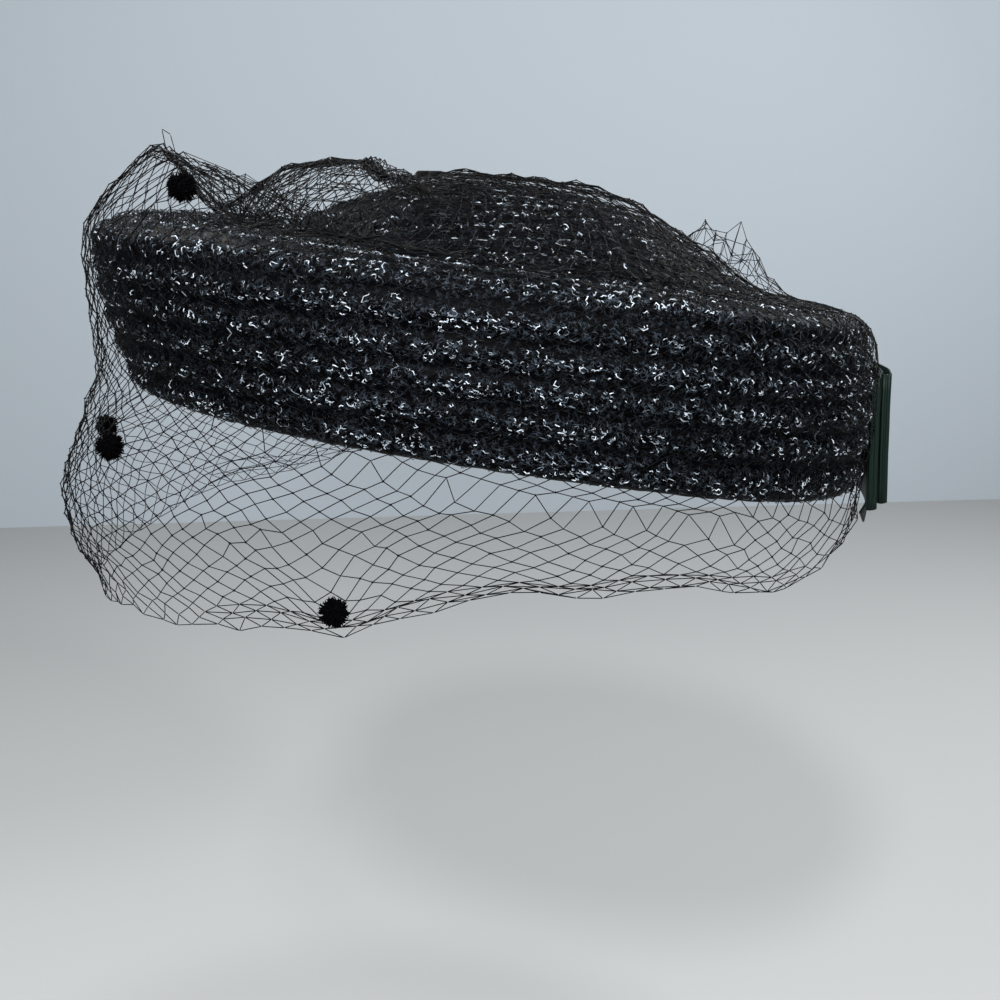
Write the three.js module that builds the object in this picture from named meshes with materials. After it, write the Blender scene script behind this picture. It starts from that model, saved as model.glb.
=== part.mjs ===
import * as THREE from 'three';
import { mergeVertices } from 'three/addons/utils/BufferGeometryUtils.js';

// Pillbox hat of sewn straw braid with a net veil and a ribbon bow.
// Millimetres, +Z up, front towards -Y, wearer's left side at +X.
// The origin is the centre of the head opening, where a head holds the hat.

// How the hat sits: front edge up, back edge down.
const TIP_BACK_DEG = 9;

// Plan of the crown: rows of braid are ovals set a fixed inset inside the top edge.
const TOP_EDGE = { front: -122.6, back: 98.9, half: 104 };
const RIM = { front: -106.6, back: 105.6, half: 97 };
const WALL_BULGE = 1.8;
const OVAL_POWER = 2.1;

// Heights of the crown.
const TOP_AT_CENTRE = 44;
const TOP_RISE_PER_MM = 0.028;
const TOP_SIDE_ARCH = 3.5;
const RIM_AT_FRONT = -2;
const RIM_SIDE_ARCH = 4.5;
const RIM_BACK_RISE = { height: 5, power: 4 };

// The raised tip is a low dome that stands on the flat top.
const DOME = { centreY: -4, halfLength: 70, halfWidth: 82, height: 23.5, power: 2.3, softness: 0.06 };

// Braid and wall.
const SHOULDER_RADIUS = 6.5;
const TOP_ROWS = 13;
const SHOULDER_ROWS = 1;
const WALL_ROWS = 6;
const RIB_HEIGHT = 0.9;
const WALL_THICKNESS = 2;
const FIRST_ROW_HALF = 2.5;
const CROWN_SIDES = 48;
const INSIDE_STEPS = { top: 7, shoulder: 2, wall: 3 };

// Veil net: levels from the middle of the tip down to the hem.
const VEIL_LEVELS = [
  { name: 'cap', front: -58, back: -28, half: 15, zFront: 67, zSide: 68, zBack: 70.5 },
  { name: 'tent', front: -74, back: 20, half: 50, zFront: 62.5, zSide: 65, zBack: 74.5 },
  { name: 'dip', front: -92, back: 66, half: 80, zFront: 47, zSide: 53.8, zBack: 54.5 },
  { name: 'bubble', front: -111, back: 95.8, half: 99, zFront: 61.5, zSide: 51.5, zBack: 50.5 },
  { name: 'edge', front: -125.8, back: 103.4, half: 109, zFront: 40, zSide: 42, zBack: 44 },
  { name: 'rim', front: -119, back: 108.8, half: 104, zFront: 0, zSide: -5, zBack: -1 },
  { name: 'hang', front: -125, back: 108.8, half: 104.5, zFront: -36, zSide: -18, zBack: -4.5 },
  { name: 'hem', front: -112, back: 105.5, half: 100.5, zFront: -60, zSide: -30, zBack: -8 },
];
const VEIL_CAP_HEIGHT = 68.5;
const VEIL_COLUMNS = 20;
const VEIL_THICKNESS = 1;
const VEIL_BAR_SHARE = 0.24;

// How far the hem hangs below or above its plain curve, by angle from the front.
const HEM_SWAY = [
  { degrees: 0, lower: 0 },
  { degrees: 25, lower: 3 },
  { degrees: 45, lower: 5 },
  { degrees: 65, lower: 6 },
  { degrees: 90, lower: -5 },
  { degrees: 110, lower: -8 },
  { degrees: 124, lower: 0 },
  { degrees: 140, lower: -1 },
  { degrees: 160, lower: -5 },
  { degrees: 180, lower: 0 },
];

// Chenille dots: angle from the front and level on the net.
const DOT_DIAMETER = 7.5;
const DOT_GAP = 0.3;
const DOTS = [
  { degrees: 37, level: 3.4 },
  { degrees: 31, level: 5.35 },
  { degrees: -23, level: 5.8 },
  { degrees: 67, level: 6.6 },
];

// Bow of grosgrain ribbon, bent round the back of the hat. Its layers stack outwards from the veil.
const RIBBON_WIDTH = 38;
const RIBBON_THICKNESS = 0.7;
const BOW_CENTRE_Z = 17.5;
const BOW_FRONT_Y = 108.2;
const BOW_TILT_DEG = 8;
const BOW_BEND_RADIUS = 95;
const BAND = { width: 14, wall: 0.8, gap: 0.55 };
const INNER_LOOP = { name: 'bow_loop_inner', length: 100, depth: 2.2 };
const OUTER_LOOP = { name: 'bow_loop_outer', length: 88, depth: 2.4 };
const LAYER_GAP = 0.3;
const BOW_STEPS = { run: 14, end: 5 };
const TAIL = { left: 31, right: 44, top: 5, shoulder: -3.5, tip: -8.5, thickness: 0.8 };

const radians = THREE.MathUtils.degToRad;

// A point on an oval with the given front, back and half width. Angle 0 is the front.
function ovalPoint(oval, angle) {
  const along = Math.cos(angle);
  const across = Math.sin(angle);
  const power = 2 / OVAL_POWER;
  const middle = (oval.front + oval.back) / 2;
  const reach = (oval.back - oval.front) / 2;
  return {
    x: oval.half * Math.sign(across) * Math.abs(across) ** power,
    y: middle - reach * Math.sign(along) * Math.abs(along) ** power,
  };
}

function insetOval(oval, inset) {
  return { front: oval.front + inset, back: oval.back - inset, half: oval.half - inset };
}

function mixOval(from, to, share) {
  return {
    front: THREE.MathUtils.lerp(from.front, to.front, share),
    back: THREE.MathUtils.lerp(from.back, to.back, share),
    half: THREE.MathUtils.lerp(from.half, to.half, share),
  };
}

function domeHeight(x, y) {
  const reach = Math.hypot(x / DOME.halfWidth, (y - DOME.centreY) / DOME.halfLength);
  const cap = 1 - reach ** DOME.power;
  return (DOME.height * (cap + Math.hypot(cap, DOME.softness))) / 2;
}

function topHeight(x, y) {
  const arch = TOP_SIDE_ARCH * (x / TOP_EDGE.half) ** 2;
  return TOP_AT_CENTRE + TOP_RISE_PER_MM * y + arch + domeHeight(x, y);
}

function rimHeight(x, y) {
  const rise = RIM_BACK_RISE.height * (Math.max(y, 0) / RIM.back) ** RIM_BACK_RISE.power;
  return RIM_AT_FRONT + RIM_SIDE_ARCH * (x / RIM.half) ** 2 + rise;
}

// The crown's outer skin. A station runs 0..1 over the top, 1..2 round the shoulder and 2..3 down the wall.
function crownPoint(station, angle) {
  if (station <= 1) {
    const widest = TOP_EDGE.half - FIRST_ROW_HALF;
    const inset = THREE.MathUtils.lerp(widest, SHOULDER_RADIUS, station);
    const plan = ovalPoint(insetOval(TOP_EDGE, inset), angle);
    return new THREE.Vector3(plan.x, plan.y, topHeight(plan.x, plan.y));
  }
  if (station <= 2) {
    const turn = ((station - 1) * Math.PI) / 2;
    const inset = SHOULDER_RADIUS * (1 - Math.sin(turn));
    const drop = SHOULDER_RADIUS * (1 - Math.cos(turn));
    const plan = ovalPoint(insetOval(TOP_EDGE, inset), angle);
    return new THREE.Vector3(plan.x, plan.y, topHeight(plan.x, plan.y) - drop);
  }
  const share = station - 2;
  const bulge = WALL_BULGE * 4 * share * (1 - share);
  const plan = ovalPoint(insetOval(mixOval(TOP_EDGE, RIM, share), -bulge), angle);
  const edge = ovalPoint(TOP_EDGE, angle);
  const rim = ovalPoint(RIM, angle);
  const high = topHeight(edge.x, edge.y) - SHOULDER_RADIUS;
  return new THREE.Vector3(plan.x, plan.y, THREE.MathUtils.lerp(high, rimHeight(rim.x, rim.y), share));
}

// Outward normal of a skin, from two short steps on it: one down its rows and one around them.
function skinNormal(point, station, angle) {
  const step = 0.002;
  const along = point(station + step, angle).sub(point(station - step, angle));
  const around = point(station, angle + step).sub(point(station, angle - step));
  return new THREE.Vector3().crossVectors(along, around).normalize();
}

function offsetPoint(point, station, angle, distance) {
  return point(station, angle).addScaledVector(skinNormal(point, station, angle), distance);
}

// Stations with two steps to each row of braid: a valley, then a crest.
function braidStations() {
  const stations = [];
  const parts = [
    { start: 0, rows: TOP_ROWS },
    { start: 1, rows: SHOULDER_ROWS },
    { start: 2, rows: WALL_ROWS },
  ];
  for (const part of parts) {
    for (let row = 0; row < part.rows; row += 1) {
      stations.push({ at: part.start + row / part.rows, rib: 0 });
      stations.push({ at: part.start + (row + 0.5) / part.rows, rib: RIB_HEIGHT });
    }
  }
  stations.push({ at: 3, rib: 0 });
  return stations;
}

function insideStations() {
  const stations = [];
  const parts = [
    { start: 0, steps: INSIDE_STEPS.top },
    { start: 1, steps: INSIDE_STEPS.shoulder },
    { start: 2, steps: INSIDE_STEPS.wall },
  ];
  for (const part of parts) {
    for (let step = 0; step < part.steps; step += 1) {
      stations.push(part.start + step / part.steps);
    }
  }
  stations.push(3);
  return stations;
}

// A mesh under construction: points by index and triangles between them.
class Surface {
  constructor() {
    this.points = [];
    this.triangles = [];
  }

  add(point) {
    this.points.push(point.x, point.y, point.z);
    return this.points.length / 3 - 1;
  }

  triangle(a, b, c) {
    this.triangles.push(a, b, c);
  }

  quad(a, b, c, d) {
    this.triangle(a, b, c);
    this.triangle(a, c, d);
  }

  // Joins two closed rings of the same length.
  bridge(upper, lower) {
    for (let i = 0; i < upper.length; i += 1) {
      const next = (i + 1) % upper.length;
      this.quad(upper[i], lower[i], lower[next], upper[next]);
    }
  }

  fan(centre, ring) {
    for (let i = 0; i < ring.length; i += 1) {
      this.triangle(centre, ring[i], ring[(i + 1) % ring.length]);
    }
  }

  geometry() {
    const geometry = new THREE.BufferGeometry();
    geometry.setAttribute('position', new THREE.Float32BufferAttribute(this.points, 3));
    geometry.setIndex(this.triangles);
    return geometry;
  }
}

function crownGeometry() {
  const surface = new Surface();
  const ringAt = (station, distance) => {
    const ring = [];
    for (let side = 0; side < CROWN_SIDES; side += 1) {
      const angle = (side * 2 * Math.PI) / CROWN_SIDES;
      ring.push(surface.add(offsetPoint(crownPoint, station, angle, distance)));
    }
    return ring;
  };
  const outside = braidStations().map((station) => ringAt(station.at, station.rib));
  const inside = insideStations().map((station) => ringAt(station, -WALL_THICKNESS));
  const tipY = (TOP_EDGE.front + TOP_EDGE.back) / 2;
  const tip = new THREE.Vector3(0, tipY, topHeight(0, tipY));
  surface.fan(surface.add(tip), outside[0]);
  for (let i = 0; i + 1 < outside.length; i += 1) {
    surface.bridge(outside[i], outside[i + 1]);
  }
  surface.bridge(outside[outside.length - 1], inside[inside.length - 1]);
  for (let i = inside.length - 1; i > 0; i -= 1) {
    surface.bridge(inside[i], inside[i - 1]);
  }
  const under = surface.add(tip.clone().setZ(tip.z - WALL_THICKNESS));
  surface.fan(under, inside[0].slice().reverse());
  return surface.geometry();
}

function hemSway(angle) {
  const turned = Math.abs(THREE.MathUtils.euclideanModulo(angle + Math.PI, 2 * Math.PI) - Math.PI);
  const degrees = THREE.MathUtils.radToDeg(turned);
  const last = HEM_SWAY.length - 1;
  const next = Math.min(last, Math.max(1, HEM_SWAY.findIndex((key) => key.degrees >= degrees)));
  const from = HEM_SWAY[next - 1];
  const to = HEM_SWAY[next];
  const share = (degrees - from.degrees) / (to.degrees - from.degrees);
  return THREE.MathUtils.lerp(from.lower, to.lower, THREE.MathUtils.smoothstep(share, 0, 1));
}

// A point of the veil at a whole level.
function veilLevelPoint(level, angle) {
  const row = VEIL_LEVELS[level];
  const plan = ovalPoint(row, angle);
  const along = Math.cos(angle);
  const frontShare = Math.max(along, 0) ** 2;
  const backShare = Math.max(-along, 0) ** 2;
  const height = row.zSide * (1 - frontShare - backShare) + row.zFront * frontShare + row.zBack * backShare;
  const rimLevel = VEIL_LEVELS.findIndex((key) => key.name === 'rim');
  const hemLevel = VEIL_LEVELS.length - 1;
  const hang = Math.max(0, (level - rimLevel) / (hemLevel - rimLevel));
  return new THREE.Vector3(plan.x, plan.y, height - hang * hemSway(angle));
}

function veilPoint(station, angle) {
  const level = THREE.MathUtils.clamp(Math.floor(station), 0, VEIL_LEVELS.length - 2);
  return veilLevelPoint(level, angle).lerp(veilLevelPoint(level + 1, angle), station - level);
}

// Knots of the net, staggered from level to level. The knot nearest each dot is drawn to it.
function veilKnots() {
  const knots = VEIL_LEVELS.map((row, level) => {
    const ring = [];
    for (let column = 0; column < VEIL_COLUMNS; column += 1) {
      const turn = (column + (level % 2) / 2) / VEIL_COLUMNS;
      ring.push({ station: level, angle: turn * 2 * Math.PI });
    }
    return ring;
  });
  for (const dot of DOTS) {
    const angle = THREE.MathUtils.euclideanModulo(radians(dot.degrees), 2 * Math.PI);
    const ring = knots[Math.round(dot.level)];
    const away = (knot) => Math.abs(Math.sin((knot.angle - angle) / 2));
    const nearest = ring.reduce((best, knot) => (away(knot) < away(best) ? knot : best));
    const turn = THREE.MathUtils.euclideanModulo(angle - nearest.angle + Math.PI, 2 * Math.PI) - Math.PI;
    nearest.angle += turn;
    nearest.station = dot.level;
  }
  return knots;
}

function veilGeometry() {
  const surface = new Surface();
  const knots = veilKnots();
  const pair = (station, angle) => ({
    outer: surface.add(offsetPoint(veilPoint, station, angle, VEIL_THICKNESS / 2)),
    inner: surface.add(offsetPoint(veilPoint, station, angle, -VEIL_THICKNESS / 2)),
  });
  const knotPairs = knots.map((ring) => ring.map((knot) => pair(knot.station, knot.angle)));
  const columnOf = (level, column) => THREE.MathUtils.euclideanModulo(column, knots[level].length);
  const sheet = (a, b, c) => {
    surface.triangle(a.outer, b.outer, c.outer);
    surface.triangle(a.inner, c.inner, b.inner);
  };
  const tipY = (VEIL_LEVELS[0].front + VEIL_LEVELS[0].back) / 2;
  const cap = {
    outer: surface.add(new THREE.Vector3(0, tipY, VEIL_CAP_HEIGHT + VEIL_THICKNESS / 2)),
    inner: surface.add(new THREE.Vector3(0, tipY, VEIL_CAP_HEIGHT - VEIL_THICKNESS / 2)),
  };
  const last = VEIL_LEVELS.length - 1;
  for (let column = 0; column < VEIL_COLUMNS; column += 1) {
    const next = (column + 1) % VEIL_COLUMNS;
    sheet(cap, knotPairs[0][column], knotPairs[0][next]);
    sheet(knotPairs[0][column], knotPairs[1][column], knotPairs[0][next]);
    const above = knotPairs[last - 1][columnOf(last - 1, column + (last % 2))];
    const hemFrom = knotPairs[last][column];
    const hemTo = knotPairs[last][next];
    sheet(above, hemFrom, hemTo);
    surface.quad(hemFrom.outer, hemFrom.inner, hemTo.inner, hemTo.outer);
  }
  // Every diamond between two levels is a frame round a hole that goes right through.
  for (let level = 1; level < last; level += 1) {
    for (let column = 0; column < VEIL_COLUMNS; column += 1) {
      const upper = columnOf(level - 1, column + (level % 2));
      const lower = columnOf(level + 1, column + (level % 2));
      const right = columnOf(level, column + 1);
      const corners = [
        { knot: knots[level - 1][upper], pair: knotPairs[level - 1][upper] },
        { knot: knots[level][column], pair: knotPairs[level][column] },
        { knot: knots[level + 1][lower], pair: knotPairs[level + 1][lower] },
        { knot: knots[level][right], pair: knotPairs[level][right] },
      ];
      const home = corners[1].knot.angle;
      const turns = corners.map((corner) => {
        const turn = corner.knot.angle - home;
        return THREE.MathUtils.euclideanModulo(turn + Math.PI, 2 * Math.PI) - Math.PI;
      });
      const middleTurn = turns.reduce((sum, turn) => sum + turn, 0) / corners.length;
      const middleStation = corners.reduce((sum, corner) => sum + corner.knot.station, 0) / corners.length;
      const holes = corners.map((corner, index) => {
        const station = THREE.MathUtils.lerp(corner.knot.station, middleStation, VEIL_BAR_SHARE);
        const turn = THREE.MathUtils.lerp(turns[index], middleTurn, VEIL_BAR_SHARE);
        return pair(station, home + turn);
      });
      for (let i = 0; i < corners.length; i += 1) {
        const j = (i + 1) % corners.length;
        const from = corners[i].pair;
        const to = corners[j].pair;
        surface.quad(from.outer, to.outer, holes[j].outer, holes[i].outer);
        surface.quad(from.inner, holes[i].inner, holes[j].inner, to.inner);
        surface.quad(holes[i].outer, holes[j].outer, holes[j].inner, holes[i].inner);
      }
    }
  }
  return surface.geometry();
}

// A dot sits just outside the net, on the knot that was drawn to it.
function dotGeometry(dot) {
  const radius = DOT_DIAMETER / 2;
  const reach = VEIL_THICKNESS / 2 + DOT_GAP + radius;
  const centre = offsetPoint(veilPoint, dot.level, radians(dot.degrees), reach);
  const ball = new THREE.SphereGeometry(radius, 10, 6);
  ball.deleteAttribute('normal');
  ball.deleteAttribute('uv');
  ball.translate(centre.x, centre.y, centre.z);
  return mergeVertices(ball, 1e-3);
}

function closedSolid(geometry) {
  geometry.deleteAttribute('normal');
  geometry.deleteAttribute('uv');
  return mergeVertices(geometry, 1e-3);
}

// How far the bow's layers bend forwards at a distance from their middle.
function bend(x) {
  return x ** 2 / (2 * BOW_BEND_RADIUS);
}

// Outline of a flattened loop of ribbon, seen from above: two long runs with round ends.
function loopOutline(length, depth, middleY) {
  const radius = depth / 2;
  const straight = length / 2 - radius;
  const points = [];
  const place = (x, y) => points.push(new THREE.Vector2(x, middleY + y - bend(x)));
  for (const side of [1, -1]) {
    for (let step = 0; step < BOW_STEPS.run; step += 1) {
      const share = step / BOW_STEPS.run;
      place(side * THREE.MathUtils.lerp(-straight, straight, share), -side * radius);
    }
    for (let step = 0; step < BOW_STEPS.end; step += 1) {
      const turn = -Math.PI / 2 + (Math.PI * step) / BOW_STEPS.end;
      place(side * (straight + radius * Math.cos(turn)), side * radius * Math.sin(turn));
    }
  }
  return points;
}

function loopGeometry(loop, frontY) {
  const middleY = frontY + loop.depth / 2;
  const shape = new THREE.Shape(loopOutline(loop.length, loop.depth, middleY));
  const innerLength = loop.length - 2 * RIBBON_THICKNESS;
  const innerDepth = loop.depth - 2 * RIBBON_THICKNESS;
  shape.holes.push(new THREE.Path(loopOutline(innerLength, innerDepth, middleY)));
  const ribbon = new THREE.ExtrudeGeometry(shape, { depth: RIBBON_WIDTH, bevelEnabled: false });
  ribbon.translate(0, 0, BOW_CENTRE_Z - RIBBON_WIDTH / 2);
  return closedSolid(ribbon);
}

function rectangle(path, left, right, bottom, top) {
  path.moveTo(left, bottom);
  path.lineTo(right, bottom);
  path.lineTo(right, top);
  path.lineTo(left, top);
  path.closePath();
  return path;
}

// The band is a ring round both loops, drawn in its depth and height and extruded along its width.
function bandGeometry(depth) {
  const { wall } = BAND;
  const halfHeight = RIBBON_WIDTH / 2 + BAND.gap;
  const shape = rectangle(new THREE.Shape(), 0, depth, -halfHeight - wall, halfHeight + wall);
  shape.holes.push(rectangle(new THREE.Path(), wall, depth - wall, -halfHeight, halfHeight));
  const band = new THREE.ExtrudeGeometry(shape, { depth: BAND.width, bevelEnabled: false });
  band.translate(0, 0, -BAND.width / 2);
  band.rotateX(Math.PI / 2);
  band.rotateZ(Math.PI / 2);
  band.translate(0, BOW_FRONT_Y, BOW_CENTRE_Z);
  return closedSolid(band);
}

// The tail is a short pointed end of ribbon, drawn from the back and bent with the loops.
function tailGeometry() {
  const middle = (TAIL.left + TAIL.right) / 2;
  const shape = new THREE.Shape();
  shape.moveTo(TAIL.left, TAIL.top);
  shape.lineTo(TAIL.left, TAIL.shoulder);
  shape.lineTo(middle, TAIL.tip);
  shape.lineTo(TAIL.right, TAIL.shoulder);
  shape.lineTo(TAIL.right, TAIL.top);
  shape.closePath();
  const tail = new THREE.ExtrudeGeometry(shape, { depth: TAIL.thickness, bevelEnabled: false });
  tail.rotateX(Math.PI / 2);
  tail.translate(0, BOW_FRONT_Y + TAIL.thickness, 0);
  const solid = closedSolid(tail);
  const place = solid.getAttribute('position');
  for (let i = 0; i < place.count; i += 1) {
    place.setY(i, place.getY(i) - bend(place.getX(i)));
  }
  return solid;
}

const hat = new THREE.Group();
hat.rotation.x = radians(-TIP_BACK_DEG);

// Leans a piece of the bow with the wall behind it: top forwards, bottom back.
function leanBow(geometry) {
  geometry.translate(0, -BOW_FRONT_Y, -BOW_CENTRE_Z);
  geometry.rotateX(radians(BOW_TILT_DEG));
  return geometry.translate(0, BOW_FRONT_Y, BOW_CENTRE_Z);
}

function addPiece(name, geometry, material) {
  const mesh = new THREE.Mesh(geometry, material);
  mesh.name = name;
  hat.add(mesh);
}

const straw = new THREE.MeshStandardMaterial({ color: 0x14161c, roughness: 0.35, metalness: 0 });
const net = new THREE.MeshStandardMaterial({ color: 0x15161a, roughness: 0.7, metalness: 0 });
const chenille = new THREE.MeshStandardMaterial({ color: 0x0c0c0e, roughness: 0.95, metalness: 0 });
const grosgrain = new THREE.MeshStandardMaterial({ color: 0x16241f, roughness: 0.6, metalness: 0 });

addPiece('crown', crownGeometry(), straw);
addPiece('veil', veilGeometry(), net);
DOTS.forEach((dot, index) => addPiece(`veil_dot_${index + 1}`, dotGeometry(dot), chenille));

let layerY = BOW_FRONT_Y + BAND.wall + BAND.gap;
for (const loop of [INNER_LOOP, OUTER_LOOP]) {
  addPiece(loop.name, leanBow(loopGeometry(loop, layerY)), grosgrain);
  layerY += loop.depth + LAYER_GAP;
}
const bandDepth = layerY - LAYER_GAP + BAND.gap + BAND.wall - BOW_FRONT_Y;
addPiece('bow_band', leanBow(bandGeometry(bandDepth)), grosgrain);
addPiece('bow_tail', leanBow(tailGeometry()), grosgrain);

export default hat;
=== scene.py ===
import math

import bmesh
import bpy
import numpy as np
from mathutils import Matrix, Vector
from mathutils.bvhtree import BVHTree


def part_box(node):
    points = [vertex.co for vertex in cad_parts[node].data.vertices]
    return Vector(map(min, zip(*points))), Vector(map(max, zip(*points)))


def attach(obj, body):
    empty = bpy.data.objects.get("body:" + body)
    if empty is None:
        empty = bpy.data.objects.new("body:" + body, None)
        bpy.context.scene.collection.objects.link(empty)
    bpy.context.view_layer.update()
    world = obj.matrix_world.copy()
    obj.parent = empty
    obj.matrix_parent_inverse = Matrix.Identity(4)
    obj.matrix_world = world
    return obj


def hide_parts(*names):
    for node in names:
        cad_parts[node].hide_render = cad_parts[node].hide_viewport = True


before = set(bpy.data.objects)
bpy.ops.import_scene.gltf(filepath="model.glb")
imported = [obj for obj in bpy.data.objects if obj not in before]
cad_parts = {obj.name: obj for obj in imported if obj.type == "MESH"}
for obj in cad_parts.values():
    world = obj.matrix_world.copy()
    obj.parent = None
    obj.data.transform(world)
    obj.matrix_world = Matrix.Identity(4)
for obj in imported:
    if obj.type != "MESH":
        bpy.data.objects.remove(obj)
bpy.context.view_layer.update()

bl_info = {
    "name": "Pillbox hat with net veil",
    "version": (1, 0, 0),
    "blender": (4, 5, 0),
    "location": "View3D > Sidebar > Hat",
    "description": "Makes the straw, net, chenille and ribbon of a pillbox hat over its solid model",
    "category": "Object",
}

# The hat is drawn in millimetres on its untipped opening, as its solids are.
# It is then tipped back and turned to metres.
MM = 0.001
TIP_BACK = math.radians(9)
TIP = Matrix.Rotation(-TIP_BACK, 3, "X")

# Crown: ovals by front, back and half width.
TOP_EDGE = {"front": -122.6, "back": 98.9, "half": 104}
RIM = {"front": -106.6, "back": 105.6, "half": 97}
WALL_BULGE = 1.8
OVAL_POWER = 2.1
TOP_AT_CENTRE = 44
TOP_RISE_PER_MM = 0.028
TOP_SIDE_ARCH = 3.5
RIM_AT_FRONT = -2
RIM_SIDE_ARCH = 4.5
RIM_BACK_RISE = {"height": 5, "power": 4}
DOME = {"centre_y": -4, "half_length": 70, "half_width": 82, "height": 23.5, "power": 2.3, "softness": 0.06}
SHOULDER_RADIUS = 6.5
FIRST_ROW_HALF = 2.5

# Rows of braid counted from the tip, at the start and end of each part of the crown.
# A station runs -1..0 over the tip, 0..1 over the top, 1..2 round the shoulder and 2..3 down the wall.
ROW_TABLE = [
    {"station": -1, "row": -0.35},
    {"station": 0, "row": 0},
    {"station": 1, "row": 13},
    {"station": 2, "row": 14.4},
    {"station": 3, "row": 19.5},
]
FIRST_ROW = ROW_TABLE[0]["row"]
LAST_ROW = ROW_TABLE[-1]["row"]
# Over the closing rows the spiral evens out, so that the rim ends on a whole row.
CLOSING_ROWS = 1.5
RIM_ROW = 20
NORMAL_STEP = 0.03
NORMAL_FIRST_ROW = 0.1

# Braid: the section of its ribs, and the steps of its surface round the hat, down outside and up inside.
# The ribs of the edge and the inside are shares of those outside, and the inside has one tone, an even level
# of the painted filament light.
RIB_ROUNDNESS = 0.65
RIB_FADE_ROWS = 0.8
BRAID_STEPS = {"around": 360, "outside": 112, "inside": 30}
EDGE_RIBS = 0.3
INSIDE_RIBS = -0.25
INSIDE_TONE = 0.35
BRAID_CRINKLE = {"seed": 3, "shortest": 2.8, "longest": 6}
CRINKLE_HEIGHT = 0.26

# Painted light of the straw, as the lamps fall on it: the share of painted highlight that is left in a seam
# as painted shade, at the hat's front and back, and over the tip.
PAINTED_LIGHT_IN_SEAM = 0.28
PAINTED_LIGHT_CREST_POWER = 1.3
PAINTED_LIGHT_AT_ENDS = 0.26
PAINTED_LIGHT_SIDE_POWER = 1.4
PAINTED_LIGHT_SIDE_ANGLE = 1.5
PAINTED_LIGHT_OVER_TIP = 0.3
PAINTED_LIGHT_TIP_ROWS = (12.4, 14.2)

# Curls of straw. Turns are in radians at each of a curl's points, and lifts are from the ribbed surface.
CURL_SEED = 11
CURL_POINTS = 5
CURL_DRAWS_EACH = 3
CURL_FIRST_ROW = 0.2
CURL_EDGE_ROWS = (0.02, 0.01)
CURL_IN_SEAM = 0.25
CURL_TURNS = (0.5, 1.9)
CURL_TURNS_BACK = 0.35
CURL_SIZE_SPREAD = 0.4
CURL_RUNS = (0.5, 1.5)
CURL_STRETCH = {"along": 1.2, "down": 0.9}
CURL_LIFT = 0.15
CURL_EXTRA_LIFT = 0.5
CURL_TIP_MARGIN = 3
# Patches, shares and tones below set the curls' painted light: painted highlights on a few, painted shade on
# the dark ones.
CURL_PATCHES = {"seed": 21, "shortest": 12, "longest": 40, "waves": 8}
CURL_PATCH_CONTRAST = 0.45
CURL_PATCH_RANGE = (0.2, 2)
CURL_PAINTED_HIGHLIGHT_SHARE = 0.36
CURL_PAINTED_HIGHLIGHT_TONES = (0.74, 1)
CURL_DARK_TONES = (0, 0.8)
CURL_RADIUS = {"least": 0.75, "by_tone": 0.6}
CROWN_MIDDLE_Y = -12
CROWN_MEAN_RADIUS = 105
# Curls are laid out with this many millimetres to a row. A row measures about 7.8, so they stretch a little.
CURL_MM_PER_ROW = 7.3
TIP_CURL_ROWS = 9
TOP_CURL_ROWS = 13.4

# Veil net: levels from the middle of the tip down to the hem.
VEIL_TOP = (0, -43, 68.5)
VEIL_COLUMNS = ("name", "front", "back", "half", "z_front", "z_side", "z_back")
VEIL_LEVELS = [
    dict(zip(VEIL_COLUMNS, level))
    for level in (
        ("cap", -58, -28, 15, 67, 68, 70.5),
        ("tent", -74, 20, 50, 62.5, 65, 74.5),
        ("dip", -92, 66, 80, 47, 53.8, 54.5),
        ("bubble", -111, 95.8, 99, 61.5, 51.5, 50.5),
        ("edge", -125.8, 103.4, 109, 40, 42, 44),
        ("rim", -119, 108.8, 104, 0, -5, -1),
        ("hang", -125, 108.8, 104.5, -36, -18, -4.5),
        ("hem", -112, 105.5, 100.5, -60, -30, -8),
    )
]
HEM_SWAY = [(0, 0), (25, 3), (45, 5), (65, 6), (90, -5), (110, -8), (124, 0), (140, -1), (160, -5), (180, 0)]

# How the net's lines are drawn: their ease at the levels, and the steps between two levels.
NET_EASE = 0.55
NET_STEPS = 12
NET_SEED = 5
NET_SHIFT = 0.08
NET_TOP_GAP = 5.0
# Shares of the rows, and the shares of a line that they reach. The last rows are bunched at the hem,
# which they start at the first of two shares at the front and back, and at the second at the sides.
NET_ROW_SHARES = (0, 0.42, 0.94, 1)
NET_TIP_REACH = 0.54
NET_HEM_REACH = (0.94, 0.972)
NET_HEM_POWER = 4
# The net lies nearly even at the top, and grows looser down to five eighths of its rows.
NET_LOOSE = {"by_share": 1.6, "least": 0.1}
NET_WAVES = {"seed": 60, "shortest": 18, "longest": 50}
NET_WAVE_HEIGHT = 0.8
TUFTS = {"seed": 77, "shortest": 7, "longest": 22}
TUFT_HEIGHT = 1.2
TUFT_ROWS = 0.45
FOLD = {"x": -42, "y": 72, "half_width": 18, "half_length": 17, "height": 17, "raggedness": 0.3}
FOLD_CRINKLE = {"seed": 78, "shortest": 5, "longest": 14}
DOT_PULL_RADIUS = 9
HEM_ROWS = 3
HEM_SIDES = 0.75
GATHERS = {"count": 420, "rows": (2, 22), "columns": (-16, 24), "down": (1, 3), "across": (-4, 5)}
SLACK_THREAD = [(6, -106.5, 60), (5, -109, 67), (7, -106.5, 66), (8, -104, 60)]
THREAD_SHARES = (0, 0.06, 0.94, 1)
NET_SPLIT_HEIGHT = 40
KNOTLESS_ROWS = {"top": 8, "hem": 4}

# The net stays a little off the straw. Above the rim it clings to it, but not at the front.
CLEAR_STEPS = {"down": 160, "around": 240}
CLEAR_GAP = 2.2
CLEAR_INSIDE_REACH = 20
CLEAR_LOWEST = -1
CLING_REACH = 10
CLING_SHARE = 0.35
CLING_FRONT_Y = -85
CLING_LOWEST = 2

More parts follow.
